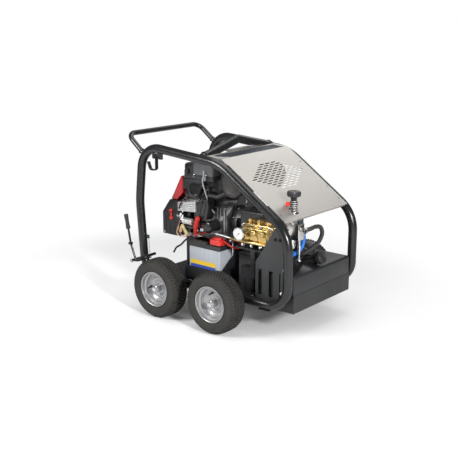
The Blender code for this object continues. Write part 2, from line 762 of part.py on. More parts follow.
# ---- running gear ------------------------------------------------------------
def make_wheel(place, station, side):
    """Tyre and rim of one wheel, each with its origin at the wheel's centre."""
    centre = at(station, side * wheel_y, rear_axle_z)
    out = (0, side, 0)
    on_flat = WHEEL_R / math.cos(math.pi / TYRE_STEPS)
    bead = BEAD_R / math.cos(math.pi / TYRE_STEPS) + 0.0010
    half = [(bead, 0.0475), (0.0990, 0.0475), (0.1020, 0.0535), (0.1300, TYRE_HALF_W),
            (0.1580, 0.0500), (on_flat, CROWN_HALF_W)]
    profile = half + [(r, -y) for r, y in reversed(half)]
    tyre = turned("tyre_" + place, profile, centre, out, TYRE_STEPS, ring=True, phase=math.pi / TYRE_STEPS)
    count = 0
    for vert in tyre.data.vertices:
        offset = vert.co - centre
        if abs(abs(offset.y) - 0.0500) < 0.0002:
            count += 1
            if count % 2:
                vert.co -= Vector((offset.x, 0, offset.z)).normalized() * LUG_DEPTH
    move_origin(tyre, centre)
    paint(tyre, (0.045, 0.043, 0.038), 0.85)
    bore = (AXLE_R + AXLE_BORE_GAP) / math.cos(math.pi / RIM_STEPS)
    barrel = BEAD_R - RIM_WALL
    rim_profile = [
        (RIM_R, RIM_HALF_W), (RIM_R, RIM_HALF_W - RIM_WALL), (BEAD_R, RIM_HALF_W - RIM_WALL),
        (BEAD_R, RIM_WALL - RIM_HALF_W), (RIM_R, RIM_WALL - RIM_HALF_W), (RIM_R, -RIM_HALF_W),
        (barrel, -RIM_HALF_W), (barrel, 0.0140), (HUB_R, 0.0010),
        (HUB_R, -HUB_OUT), (bore, -HUB_OUT), (bore, HUB_OUT - 0.0040), (HUB_R - 0.003, HUB_OUT - 0.0040),
        (HUB_R, 0.0050), (0.0540, 0.0080), (0.0600, 0.0190), (barrel, 0.0200),
        (barrel, RIM_HALF_W - 0.0020), (BEAD_R + 0.0010, RIM_HALF_W),
    ]
    rim = turned("rim_" + place, rim_profile, centre, out, RIM_STEPS, ring=True)
    move_origin(rim, centre)
    paint(rim, (0.62, 0.62, 0.60), 0.35, 0.3)


def make_axle(name, station):
    """Dead axle through the bosses, with a domed nut outside each wheel."""
    hub_end = wheel_y + HUB_OUT - 0.0040 + 0.0005
    half = [(AXLE_R, hub_end), (0.0160, hub_end), (0.0160, hub_end + 0.0080), (0.0110, hub_end + 0.0125),
            (0, hub_end + 0.0135)]
    profile = [(r, -y) for r, y in reversed(half)] + half
    axle = turned(name, profile, at(station, 0, rear_axle_z), (0, 1, 0), AXLE_SIDES)
    return paint(axle, (0.55, 0.55, 0.56), 0.35, 0.9)


for side, word in ((-1, "left"), (1, "right")):
    make_wheel("rear_" + word, 0.0, side)
    make_wheel("front_" + word, WHEELBASE, side)
make_axle("rear_axle", 0.0)
make_axle("front_axle", WHEELBASE)


def make_brake():
    """Brake shaft, shoe plate over the rear left tyre and hand lever, as one welding."""
    x, z = BRAKE_AT
    pivot = at(x, -RAIL_Y, z)
    lever_y = -(wheel_y + BRAKE_LEVER_OUT)
    inner_end, outer_end = -0.284, lever_y - 0.012
    lever = drum("brake_lever", at(x, inner_end, z), (0, -1, 0), BRAKE_SHAFT_R, inner_end - outer_end, 16)
    tip_x, tip_z = x + BRAKE_SHOE_REACH, z + 0.0048
    thick = 0.0030
    shoe = [(x, z - thick), (tip_x, tip_z - thick), (tip_x, tip_z + thick), (x, z + thick)]
    tyre_y = -wheel_y
    fuse(lever, slab("shoe", shoe, tyre_y - 0.054, tyre_y + 0.054))
    route = [((-0.152, 0.303), 0), ((-0.188, 0.392), 0.05), ((-0.1990, 0.450), 0.05), ((-0.2195, 0.5505), 0)]
    path = filleted([(at(u, lever_y, v), r) for (u, v), r in route])
    fuse(lever, swept("rod", path, ROD_R, (0, 1, 0), 8))
    fuse(lever, slab("clip", [(-0.198, 0.386), (-0.180, 0.386), (-0.180, 0.398), (-0.198, 0.398)],
                     lever_y - 0.009, lever_y + 0.009))
    move_origin(lever, pivot)
    paint(lever, (0.015, 0.015, 0.016), 0.4)
    end = path[-1]
    back = (path[-2] - end).normalized()
    length = 0.078
    bore = (ROD_R + GAP) / math.cos(math.pi / 10)
    profile = [(0, -GAP), (bore, -GAP), (bore, length), (GRIP_R - 0.001, length), (GRIP_R, length - 0.003),
               (GRIP_R * 0.86, length * 0.5), (GRIP_R, 0.004), (GRIP_R - 0.003, -0.0045), (0, -0.0045)]
    grip = turned("brake_grip", profile, end, back, 10)
    move_origin(grip, pivot)
    paint(grip, (0.012, 0.012, 0.012), 0.6)


make_brake()


# ---- battery -----------------------------------------------------------------
def make_battery():
    wall = TRAY_WALL
    deck = RAIL_Z + TUBE_R + GAP + PLATE
    x0, x1 = BATTERY_X[0] - TRAY_ROOM - wall - 0.0075, BATTERY_X[1] + TRAY_ROOM + wall + 0.0055
    y0, y1 = BATTERY_Y[0] - wall - 0.0075, BATTERY_Y[1] + wall + 0.0075
    floor = deck + GAP
    tray = slab("battery_tray", [(y0, floor), (y1, floor), (y1, TRAY_BACK_Z), (y0, TRAY_LIP_Z)], x0, x1, across="X")
    cut(tray, station_block("hollow", (x0 + wall, x1 - wall), (y0 + wall, y1 - wall), (floor + wall, 0.45)))
    paint(tray, (0.02, 0.02, 0.021), 0.45)
    base = floor + wall + GAP
    case = station_block("battery_case", BATTERY_X, BATTERY_Y, (base, BATTERY_TOP_Z), 0.003, 1)
    paint(case, (0.72, 0.72, 0.70), 0.4)
    lid_z = (BATTERY_TOP_Z + GAP, BATTERY_TOP_Z + GAP + BATTERY_LID)
    lid = station_block("battery_lid", (BATTERY_X[0] - 0.002, BATTERY_X[1] + 0.002),
                        (BATTERY_Y[0] - 0.002, BATTERY_Y[1] + 0.002), (lid_z[0], lid_z[1]), 0.004, 1)
    paint(lid, (0.02, 0.02, 0.021), 0.45)
    top = lid_z[1] + GAP
    cover = station_block("terminal_cover", (0.250, 0.326), (-0.291, -0.228), (top, 0.4660), 0.006, 2)
    paint(cover, (0.55, 0.02, 0.015), 0.45)
    strip = [(x0 + 0.008, -0.200), (x1 - 0.008, -0.200), (x1 - 0.008, -0.184), (x0 + 0.008, -0.184)]
    clamp = slab("battery_clamp", strip, top, top + 0.004, across="Z")
    rods = [drum("rod", at(x, -0.192, base), (0, 0, 1), 0.003, top - base + 0.007, 6)
            for x in ((x0 + wall + BATTERY_X[0]) / 2, (x1 - wall + BATTERY_X[1]) / 2)]
    fuse(clamp, *rods)
    paint(clamp, (0.35, 0.35, 0.36), 0.4, 0.9)
    start, end = at(0.326 + GAP, -0.257, 0.4480), at(0.078, BOOT_Y, 0.4400 - GAP)
    route = [(0.345, -0.254, 0.4400), (0.375, -0.235, 0.4180), (0.390, -0.200, 0.4100), (0.370, -0.166, 0.4180),
             (0.320, -0.1570, 0.4400), (0.220, -0.1570, 0.4460), (0.130, -0.1620, 0.4460), (0.090, -0.185, 0.4400),
             (0.079, BOOT_Y + 0.003, 0.4280)]
    hose("battery_cable", start, (1, 0, 0), [at(*p) for p in route], end, (0, 0, -1), 0.0045, 0.003, 1)
    paint(bpy.data.objects["battery_cable"], (0.55, 0.02, 0.015), 0.45)
    boot = swept("starter_boot", [at(0.078, BOOT_Y, 0.4400), at(0.079, BOOT_Y, 0.4600), at(0.100, BOOT_Y, 0.5400)],
                 0.0115, (0, 1, 0), 8)
    paint(boot, (0.55, 0.02, 0.015), 0.45)


make_battery()


# ---- engine ------------------------------------------------------------------
def make_cradle():
    """Welded cradle: two rails on legs that the engine and pump are bolted to."""
    deck = RAIL_Z + TUBE_R + GAP + PLATE + GAP
    top = ENGINE_BASE_Z - GAP
    cradle = station_block("engine_cradle", (CRADLE_REAR_X, 0.545), (0.100, 0.140), (top - 0.032, top))
    pieces = [station_block("rail", (CRADLE_REAR_X, 0.545), (-0.140, -0.100), (top - 0.032, top))]
    for x in (CRADLE_REAR_X, 0.240, 0.500):
        pieces.append(station_block("cross", (x, x + 0.040), (-0.120, 0.120), (top - 0.030, top - 0.002)))
        for y in (-0.138, 0.102):
            pieces.append(station_block("leg", (x, x + 0.036), (y, y + 0.036), (deck, top - 0.010)))
    fuse(cradle, *pieces)
    return paint(cradle, (0.02, 0.02, 0.021), 0.45)


def make_crankcase():
    """Crankcase with a flat for each cylinder, and a rear plate that carries the fan housing."""
    base = ENGINE_BASE_Z
    reach = (CYLINDER_START - GAP) / math.sin(CYLINDER_TILT)
    top_y = reach - (CASE_TOP_Z - SHAFT_Z) / math.tan(CYLINDER_TILT)
    shoulder = SHAFT_Z + (reach - CRANKCASE_HALF_W) * math.tan(CYLINDER_TILT)
    half = [(FOOT_HALF_W, base), (FOOT_HALF_W, base + 0.014), (CRANKCASE_HALF_W, base + 0.022),
            (CRANKCASE_HALF_W, shoulder), (top_y, CASE_TOP_Z)]
    case = slab("crankcase", half + mirrored(half), *CRANKCASE_X, across="X")
    low, high = BLOWER_Z[0] + BLOWER_WALL + GAP, BLOWER_Z[1] - BLOWER_WALL - GAP
    half = [(FOOT_HALF_W, low), (FOOT_HALF_W, low + 0.025), (CRANKCASE_HALF_W, low + 0.060), (CRANKCASE_HALF_W, high)]
    plate = slab("plate", half + mirrored(half), BLOWER_X[1] - 0.014, CRANKCASE_X[0] + 0.001, across="X")
    side_boss = station_block("boss", (0.130, 0.200), (-SIDE_BOSS_Y, SIDE_BOSS_Y), (base + 0.050, base + 0.118))
    fuse(case, plate, side_boss)
    bore = drum("bore", at(BLOWER_X[1] - 0.03, 0, SHAFT_Z), (1, 0, 0), SHAFT_R + GAP, 0.40, 16)
    cut(case, bore)
    return paint(case, (0.02, 0.02, 0.021), 0.5)


def mirrored(half):
    """Other half of an outline that is symmetric about Y = 0."""
    return [(-y, z) for y, z in reversed(half)]


def tilted(obj, station, side, reach):
    """Turn a piece built along +Z from the crank axis to a cylinder's tilt."""
    spin = Matrix.Rotation(-side * CYLINDER_TILT, 4, "X")
    obj.data.transform(Matrix.Translation(at(station, 0, SHAFT_Z)) @ spin @ Matrix.Translation((0, 0, reach)))
    obj.data.update()
    return obj


def make_cylinder(word, station, side):
    """Finned cylinder with its head, and the valve cover on it."""
    bm = bmesh.new()
    rings = []
    heights = []
    for i in range(FIN_COUNT):
        low = i * FIN_PITCH
        heights += [(FIN_CORE, low), (FIN_SIZE, low), (FIN_SIZE, low + FIN_THICK), (FIN_CORE, low + FIN_THICK)]
    end = FIN_COUNT * FIN_PITCH
    heights += [(FIN_CORE, end), ((0.058, 0.052), end), ((0.058, 0.052), end + 0.022)]
    for (half_x, half_w), height in heights:
        ring = [bm.verts.new((a * half_x, b * half_w, height)) for a, b in ((-1, -1), (1, -1), (1, 1), (-1, 1))]
        rings.append(ring)
    skin_rings(bm, rings)
    cylinder = tilted(object_from("cylinder_" + word, bm), station, side, CYLINDER_START)
    paint(cylinder, (0.45, 0.45, 0.46), 0.45, 0.8)
    cover_start = CYLINDER_START + end + 0.022 + GAP
    cover = block("valve_cover_" + word, (-0.056, -0.050, 0), (0.056, 0.050, COVER_HEIGHT), 0.012, 2)
    tilted(cover, station, side, cover_start)
    paint(cover, (0.02, 0.02, 0.021), 0.45)


def make_blower():
    """Fan housing behind the engine: a hollow shell with a guarded round intake."""
    rear, front = BLOWER_X
    low, high = BLOWER_Z
    half = BLOWER_HALF_W
    wall = BLOWER_WALL
    outline = [(-half, low), (half, low), (half, high - 0.060), (half - 0.060, high), (-half + 0.060, high),
               (-half, high - 0.060)]
    inner = [(-half + wall, low + wall), (half - wall, low + wall), (half - wall, high - 0.061),
             (half - 0.061, high - wall), (-half + 0.061, high - wall), (-half + wall, high - 0.061)]
    shell = slab("blower_housing", outline, rear, front, across="X")
    cut(shell, slab("hollow", inner, rear + wall, front + 0.01, across="X"))
    middle = at(rear, 0, SHAFT_Z)
    cut(shell, drum("intake", middle - Vector((0.02, 0, 0)), (1, 0, 0), INTAKE_R, 0.04, 16))
    guard = turned("guard", [(0.030, 0), (0.036, 0), (0.036, 0.003), (0.030, 0.003)], middle, (1, 0, 0), 10, ring=True)
    bars = []
    for k in range(2):
        bar = block("bar", (0, -INTAKE_R - 0.004, -0.0025), (0.0025, INTAKE_R + 0.004, 0.0025))
        bar.data.transform(Matrix.Translation(middle) @ Matrix.Rotation(math.pi * (k + 0.5) / 2, 4, "X"))
        bars.append(bar)
    fuse(shell, *bars, guard)
    return paint(shell, (0.02, 0.02, 0.021), 0.5)


def make_shroud():
    """Painted wedge-shaped cover over the fan housing."""
    top = BLOWER_Z[1] + GAP
    outline = [(-0.198, top), (-0.150, top), (-0.105, top + 0.045), (-0.105, 0.732), (-0.118, 0.732)]
    shroud = slab("fan_shroud", outline, -0.110, 0.110, bevel=0.004)
    return paint(shroud, (0.50, 0.015, 0.012), 0.35)


def make_rotor():
    """Crankshaft, the flywheel fan on its rear end and the coupling on its front end."""
    axis_point = at(0, 0, SHAFT_Z)
    start, end = -0.150, 0.290
    shaft = drum("crankshaft", at(start, 0, SHAFT_Z), (1, 0, 0), SHAFT_R, end - start, 16)
    move_origin(shaft, axis_point)
    paint(shaft, (0.40, 0.40, 0.41), 0.35, 0.9)
    bore = (SHAFT_R + GAP) / math.cos(math.pi / 12)
    fan = turned("flywheel_fan", [(bore, -0.138), (0.030, -0.138), (0.034, -0.118), (FAN_R, -0.114),
                                  (FAN_R, -0.108), (bore, -0.108)], axis_point, (1, 0, 0), 16, ring=True)
    blades = []
    for k in range(FAN_BLADES):
        blade = block("blade", (-0.142, 0.037, -0.0012), (-0.111, FAN_R - 0.001, 0.0012))
        lean = Matrix.Translation((0, 0.037, 0)) @ Matrix.Rotation(math.radians(24), 4, "X")
        lean = lean @ Matrix.Translation((0, -0.037, 0))
        spin = Matrix.Rotation(math.tau * k / FAN_BLADES, 4, "X")
        blade.data.transform(Matrix.Translation(axis_point) @ spin @ lean)
        blades.append(blade)
    fuse(fan, *blades)
    move_origin(fan, axis_point)
    paint(fan, (0.35, 0.35, 0.36), 0.5, 0.8)
    coupling = turned("shaft_coupling", [(0, 0.2915), (bore, 0.2915), (bore, 0.262), (0.045, 0.262), (0.045, 0.286),
                                         (0.041, 0.288), (0.041, 0.293), (0.045, 0.295), (0.045, 0.318),
                                         (0.012, 0.318), (0.012, 0.350), (0, 0.350)],
                      axis_point, (1, 0, 0), 12)
    move_origin(coupling, axis_point)
    paint(coupling, (0.10, 0.10, 0.11), 0.45, 0.5)


def make_bell_housing():
    rear, front = CRANKCASE_X[1] + GAP, PUMP_X[0] - GAP
    big, small = BELL_R
    outline = [(big, rear), (big, rear + 0.012), (small + 0.002, rear + 0.030), (small + 0.002, front - 0.012),
               (small + 0.008, front - 0.010), (small + 0.008, front), (small - 0.006, front),
               (small - 0.006, rear + 0.028), (big - 0.010, rear)]
    bell = turned("bell_housing", outline, at(0, 0, SHAFT_Z), (1, 0, 0), 14, ring=True)
    cut(bell, station_block("window", (rear + 0.034, front - 0.018), (-0.1, 0.1), (SHAFT_Z - 0.032, SHAFT_Z + 0.032)))
    return paint(bell, (0.12, 0.12, 0.125), 0.5, 0.5)


def make_muffler():
    """Silencer drum across the engine, with a pipe from each cylinder head."""
    left, right = MUFFLER_Y
    muffler = drum("muffler", at(MUFFLER_X, left, MUFFLER_Z), (0, 1, 0), MUFFLER_R, right - left, 18, rim=0.008)
    pipes = []
    for side, station in ((-1, CYLINDER_X[0]), (1, CYLINDER_X[1])):
        reach = CYLINDER_START + FIN_COUNT * FIN_PITCH + 0.011
        y = side * reach * math.sin(CYLINDER_TILT)
        z = SHAFT_Z + reach * math.cos(CYLINDER_TILT)
        face = station + 0.058 + GAP
        corners = [(at(face, y, z), 0), (at(0.200, y, z), 0.045), (at(MUFFLER_X - 0.015, side * 0.112, 0.700), 0)]
        pipes.append(swept("pipe", filleted(corners), PIPE_R, (0, 1, 0), 8))
    fuse(muffler, *pipes)
    return paint(muffler, (0.03, 0.03, 0.031), 0.5, 0.4)


def make_engine_fittings():
    cleaner = station_block("air_cleaner", (-0.062, 0.160), (-0.150, 0.150), (0.735, 0.826), 0.014, 2)
    paint(cleaner, (0.35, 0.36, 0.37), 0.45)
    body = station_block("carburettor", (0.030, 0.092), (-0.028, 0.028), (CASE_TOP_Z + GAP, 0.735 - GAP))
    fuse(body, drum("bowl", at(0.061, -0.060, 0.665), (0, 1, 0), 0.020, 0.120, 12))
    paint(body, (0.40, 0.40, 0.41), 0.5, 0.8)
    starter = drum("starter_motor", at(-0.030, -0.165, 0.485), (1, 0, 0), 0.0320, 0.130, 16, rim=0.004)
    lug = station_block("lug", (-0.028, -0.014), (-0.170, -CRANKCASE_HALF_W - GAP), (0.462, 0.492))
    fuse(starter, lug)
    paint(starter, (0.60, 0.60, 0.61), 0.35, 0.8)
    oil = drum("oil_filter", at(0.165, -SIDE_BOSS_Y - GAP, 0.490), (0, -1, 0), 0.0330, 0.086, 16, rim=0.005)
    paint(oil, (0.02, 0.02, 0.021), 0.4)
    y = -BLOWER_HALF_W - GAP
    lever = drum("throttle_lever", at(-0.120, y, 0.500), (0, -1, 0), 0.009, 0.010, 12)
    arm = slab("arm", [(-0.125, 0.500), (-0.115, 0.500), (-0.116, 0.545), (-0.124, 0.545)], y - 0.006, y - 0.003)
    fuse(lever, arm, drum("knob", at(-0.120, y - 0.002, 0.545), (0, -1, 0), 0.0075, 0.016, 12))
    move_origin(lever, at(-0.120, y, 0.500))
    paint(lever, (0.55, 0.02, 0.015), 0.4)


make_cradle()
make_crankcase()
make_cylinder("left", CYLINDER_X[0], -1)
make_cylinder("right", CYLINDER_X[1], 1)
make_blower()
make_shroud()
make_rotor()
make_bell_housing()
make_muffler()
make_engine_fittings()


# ---- pump --------------------------------------------------------------------
def make_pump():
    body = station_block("pump_crankcase", PUMP_X, PUMP_Y, PUMP_Z, 0.010, 1)
    nose = station_block("nose", (PUMP_X[0], PUMP_X[0] + 0.030), (-0.080, 0.080), (0.440, 0.585))
    fuse(body, nose)
    recess = drum("recess", at(PUMP_X[0] - 0.005, 0, SHAFT_Z), (1, 0, 0), 0.0123, 0.022, 12)
    cut(body, recess)
    cap = drum("oil_cap", at(0.470, 0.000, PUMP_Z[1] - 0.004), (0, 0, 1), 0.016, 0.022, 12, rim=0.002)
    fuse(body, cap)
    paint(body, (0.025, 0.025, 0.027), 0.4, 0.2)


def make_pump_head():
    head = station_block("pump_head", HEAD_X, HEAD_Y, HEAD_Z, 0.004, 1)
    bar_y, bar_z = INLET_BAR
    middle = (HEAD_X[0] + HEAD_X[1]) / 2
    pieces = [drum("bar", at(0.378, bar_y, bar_z), (1, 0, 0), INLET_BAR_R, 0.242, 12, rim=0.0015)]
    for k in (-1, 0, 1):
        x = middle + k * VALVE_PITCH
        pieces.append(drum("cap", at(x, -0.191, HEAD_Z[1] - 0.002), (0, 0, 1), VALVE_CAP_R, 0.022, 6))
        if k >= 0:
            pieces.append(drum("cap", at(x, HEAD_Y[0] + 0.002, 0.528), (0, -1, 0), VALVE_CAP_R, 0.018, 6))
        pieces.append(drum("nut", at(x - 0.022, -0.238, 0.4400), (0, 0, 1), 0.0095, 0.034, 6))
        pieces.append(station_block("neck", (x - 0.008, x + 0.008), (bar_y, HEAD_Y[0] + 0.004),
                                    (HEAD_Z[0] + 0.002, HEAD_Z[0] + 0.012)))
    fuse(head, *pieces)
    return paint(head, (0.55, 0.36, 0.12), 0.32, 1.0)


def make_pump_stand():
    """Plate under the pump, on feet on the cradle and a rubber-footed leg outside it."""
    top = PUMP_Z[0] - GAP
    low = top - 0.007
    stand = slab("pump_stand", [(0.400, -0.256), (0.600, -0.256), (0.600, 0.080), (0.400, 0.080)], low, top, across="Z")
    pieces = []
    for x in (0.430, 0.535):
        pieces.append(station_block("foot", (x, x + 0.022), (-0.136, -0.104), (ENGINE_BASE_Z, low + 0.003)))
    pieces.append(station_block("foot", (0.430, 0.557), (0.050, 0.078), (ENGINE_BASE_Z + 0.004, low + 0.003)))
    pieces.append(station_block("leg", (0.505, 0.533), (-0.256, -0.232), (0.335, low + 0.003)))
    deck = RAIL_Z + TUBE_R + GAP + PLATE + GAP
    pieces.append(station_block("mount", (0.452, 0.542), (-0.268, -0.222), (0.283, 0.340)))
    pieces.append(station_block("post", (0.470, 0.524), (-0.262, -0.228), (deck, 0.290)))
    fuse(stand, *pieces)
    return paint(stand, (0.03, 0.03, 0.031), 0.5)


def make_gauge():
    x, z = GAUGE
    back = at(x, GAUGE_FACE_Y + GAUGE_DEPTH, z)
    radius, deep = GAUGE_R, GAUGE_DEPTH
    stem = GAUGE_FACE_Y + GAUGE_DEPTH - HEAD_Y[0]
    profile = [(0, stem + GAP), (0.008, stem + GAP), (0.008, 0), (radius - 0.004, 0), (radius, 0.004), (radius, deep),
               (radius - 0.004, deep), (radius - 0.004, deep - 0.006), (0, deep - 0.006)]
    gauge = turned("pressure_gauge", profile, back, (0, -1, 0), 20)
    paint(gauge, (0.70, 0.70, 0.70), 0.3, 0.6)
    face = GAUGE_FACE_Y + 0.006 - GAP
    needle = drum("gauge_needle", at(x, face, z), (0, -1, 0), 0.0035, 0.0022, 8)
    reach = radius - 0.010
    turn = math.radians(-135)
    spread = [(-0.009, -0.0016), (reach, -0.0005), (reach, 0.0005), (-0.009, 0.0016)]
    outline = []
    for along, across in spread:
        outline.append((x + along * math.sin(turn) + across * math.cos(turn),
                        z + along * math.cos(turn) - across * math.sin(turn)))
    fuse(needle, slab("pointer", outline, face - 0.0016, face - 0.0008))
    move_origin(needle, at(x, face, z))
    paint(needle, (0.02, 0.02, 0.02), 0.5)


def make_unloader():
    """Pressure regulating valve, its brass feed pipe and the ribbed hand knob."""
    x, y = VALVE_AT
    low, high = VALVE_BODY_Z
    valve = station_block("unloader_valve", (x - 0.026, x + 0.052), (y - 0.026, y + 0.026), (low, high), 0.003, 1)
    top = KNOB_Z[0] - GAP
    pieces = [
        turned("spring", [(0, high - 0.004), (0.024, high - 0.004), (0.024, high + 0.020), (0.020, high + 0.024),
                          (0.020, top - 0.018), (0.012, top - 0.014), (0.012, top), (0, top)],
               at(x, y, 0), (0, 0, 1), 12),
        drum("stage", at(x - 0.005, y - 0.004, low - 0.050), (0, 0, 1), 0.0195, 0.056, 12),
        drum("stem", at(x + 0.036, y + 0.004, 0.396), (0, 0, 1), 0.0065, low - 0.390, 8),
        turned("ball", [(0, -0.012), (0.0085, -0.0085), (0.012, 0), (0.0085, 0.0085), (0, 0.012)],
               at(x + 0.036, y + 0.004, 0.394), (0, 0, 1), 10),
        drum("cap", at(x + 0.027, y + 0.020, high - 0.006), (0, 0, 1), 0.0125, 0.022, 12),
        drum("return", at(x + 0.036, y + 0.024, 0.530), (0, 1, 0), 0.0115, 0.010, 6),
        drum("bypass", at(x + 0.050, y + 0.005, 0.560), (1, 0, 0), 0.0120, 0.012, 6),
    ]
    feed = [(at(HEAD_X[1] + GAP, -0.190, 0.545), 0), (at(0.648, -0.190, 0.545), 0.02),
            (at(x - 0.010, -0.160, 0.556), 0)]
    pieces.append(swept("feed", filleted(feed), 0.0115, (0, 0, 1), 8))
    fuse(valve, *pieces)
    paint(valve, (0.55, 0.55, 0.56), 0.3, 0.9)
    bottom, height = KNOB_Z[0], KNOB_Z[1] - KNOB_Z[0]
    steps = KNOB_RIBS * 2
    knob = turned("regulator_knob", [(0, 0), (KNOB_R - 0.008, 0), (KNOB_R, 0.006), (KNOB_R, height - 0.006),
                                     (KNOB_R - 0.006, height), (0, height)],
                  at(x, y, bottom), (0, 0, 1), steps)
    rib_depth(knob, at(x, y, bottom), (0, 0, 1), KNOB_R - 0.001, 0.0030)
    move_origin(knob, at(x, y, bottom))
    paint(knob, (0.015, 0.015, 0.016), 0.5)


def make_hoses():
    x, y = VALVE_AT
    start = at(x + 0.036, y + 0.034 + GAP, 0.530)
    end = at(0.620 + GAP, *INLET_BAR)
    blue = [(0.732, -0.097, 0.505), (0.722, -0.104, 0.452), (0.704, -0.142, 0.421), (0.690, -0.195, 0.418),
            (0.672, -0.240, 0.443), (0.648, -0.2575, 0.4700)]
    feed = hose("blue_hose", start, (0, 1, 0), [at(*p) for p in blue], end, (1, 0, 0), 0.0095)
    paint(feed, (0.03, 0.22, 0.60), 0.4)
    start = at(x + 0.062 + GAP, y + 0.005, 0.560)
    end = at(0.600, 0.150 - 0.0385 - GAP, 0.378)
    black = [(0.783, -0.118, 0.565), (0.788, -0.070, 0.569), (0.787, -0.025, 0.556), (0.782, -0.002, 0.515),
             (0.764, -0.012, 0.465), (0.735, -0.042, 0.430), (0.708, -0.064, 0.408), (0.682, -0.054, 0.390),
             (0.655, -0.015, 0.380), (0.625, 0.040, 0.378), (0.604, 0.085, 0.378)]
    drain = hose("black_hose", start, (1, 0, 0), [at(*p) for p in black], end, (0, -1, 0), 0.0095, steps=1)
    paint(drain, (0.015, 0.015, 0.016), 0.5)
    inlet = drum("inlet_filter", at(0.600, 0.150, TANK_TOP_Z + GAP), (0, 0, 1), 0.0385, 0.070, 16, rim=0.004)
    paint(inlet, (0.16, 0.17, 0.18), 0.5)


make_pump()
make_pump_head()
make_pump_stand()
make_gauge()
make_unloader()
make_hoses()
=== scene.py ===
"""Four-wheel petrol pressure washer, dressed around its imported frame.

Units are metres, +Z up, +X towards the tank end, -Y is the machine's left side.
Stations along the machine are measured forwards from the rear axle, as at() does.
"""
import json
import math

import bmesh
import bpy
from mathutils import Matrix, Vector


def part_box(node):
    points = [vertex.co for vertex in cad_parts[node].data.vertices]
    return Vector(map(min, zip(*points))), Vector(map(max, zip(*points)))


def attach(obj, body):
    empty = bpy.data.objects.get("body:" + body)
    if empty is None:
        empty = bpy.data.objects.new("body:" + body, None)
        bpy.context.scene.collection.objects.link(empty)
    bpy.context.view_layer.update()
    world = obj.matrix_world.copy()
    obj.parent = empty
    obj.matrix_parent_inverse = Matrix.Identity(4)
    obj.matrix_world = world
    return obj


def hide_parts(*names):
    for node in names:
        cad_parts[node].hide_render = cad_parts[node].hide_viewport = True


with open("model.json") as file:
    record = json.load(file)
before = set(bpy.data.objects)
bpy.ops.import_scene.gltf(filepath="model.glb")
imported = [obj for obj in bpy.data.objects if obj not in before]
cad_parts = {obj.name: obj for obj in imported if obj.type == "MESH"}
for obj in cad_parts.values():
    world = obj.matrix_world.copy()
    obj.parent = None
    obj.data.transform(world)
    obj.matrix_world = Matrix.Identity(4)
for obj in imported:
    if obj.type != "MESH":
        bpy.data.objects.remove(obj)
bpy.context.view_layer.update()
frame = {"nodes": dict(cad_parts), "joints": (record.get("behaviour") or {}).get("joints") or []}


# ---- studio -----------------------------------------------------------------
# A white floor under soft boxes, seen from the machine's left front.  It keeps
# the long soft shadow behind the machine and fades to plain white farther out.
scene = bpy.context.scene
scene.view_settings.view_transform = "Standard"


def add_node(tree, kind, inputs=(), **settings):
    """Add a shader node; an input is given a value, or the socket that feeds it."""
    made = tree.nodes.new("ShaderNode" + kind)
    for word, value in settings.items():
        setattr(made, word, value)
    for word, value in dict(inputs).items():
        if isinstance(value, bpy.types.NodeSocket):
            tree.links.new(value, made.inputs[word])
        else:
            made.inputs[word].default_value = value
    return made


def seen_directly(tree):
    """1 for what the lens sees, also through clear plastic, otherwise 0."""
    path = add_node(tree, "LightPath")
    return add_node(tree, "Math", {0: path.outputs["Is Camera Ray"],
        1: path.outputs["Is Transmission Ray"]}, operation="ADD", use_clamp=True).outputs[0]


def make_world():
    world = bpy.data.worlds.new("studio_air")
    scene.world = world
    world.use_nodes = True
    tree = world.node_tree
    soft = tree.nodes["Background"]
    soft.inputs["Color"].default_value = (0.96, 0.97, 1.0, 1)
    soft.inputs["Strength"].default_value = 0.22
    white = add_node(tree, "Background", {"Color": (1, 1, 1, 1)})
    pick = add_node(tree, "MixShader")
    for place, socket in (("Fac", seen_directly(tree)), (1, soft.outputs[0]),
            (2, white.outputs[0])):
        tree.links.new(socket, pick.inputs[place])
    tree.links.new(pick.outputs[0], tree.nodes["World Output"].inputs["Surface"])


def make_floor():
    """Paper floor whose light fades to plain white away from the machine's shadow."""
    reach = 14.0
    shadow_middle, fade_start, fade_end = (-0.45, 0.3, 0), 0.85, 1.55
    mesh = bpy.data.meshes.new("studio_floor")
    corners = [(-reach, -reach, 0), (reach, -reach, 0), (reach, reach, 0), (-reach, reach, 0)]
    mesh.from_pydata(corners, [], [(0, 1, 2, 3)])
    floor = bpy.data.objects.new("studio_floor", mesh)
    scene.collection.objects.link(floor)
    floor.location.z = -0.0005
    paper = bpy.data.materials.new("studio_paper")
    paper.use_nodes = True
    tree = paper.node_tree
    shader = tree.nodes["Principled BSDF"]
    shader.inputs["Base Color"].default_value = (0.84, 0.84, 0.84, 1)
    shader.inputs["Roughness"].default_value = 0.9
    shader.inputs["Specular IOR Level"].default_value = 0.0
    direct = seen_directly(tree)
    lift = add_node(tree, "Math", {0: direct, 1: 0.06}, operation="MULTIPLY")
    glow = add_node(tree, "Emission", {"Strength": lift.outputs[0]})
    both = add_node(tree, "AddShader", {0: shader.outputs[0], 1: glow.outputs[0]})
    place = add_node(tree, "TexCoord")
    away = add_node(tree, "VectorMath", {0: place.outputs["Object"], 1: shadow_middle},
        operation="DISTANCE")
    fade = add_node(tree, "MapRange", {"From Min": fade_start, "From Max": fade_end,
        "Value": away.outputs["Value"]}, interpolation_type="SMOOTHSTEP")
    share = add_node(tree, "Math", {0: fade.outputs["Result"], 1: direct}, operation="MULTIPLY")
    white = add_node(tree, "Emission")
    blend = add_node(tree, "MixShader", {"Fac": share.outputs[0], 1: both.outputs[0],
        2: white.outputs[0]})
    tree.links.new(blend.outputs[0], tree.nodes["Material Output"].inputs["Surface"])
    mesh.materials.append(paper)


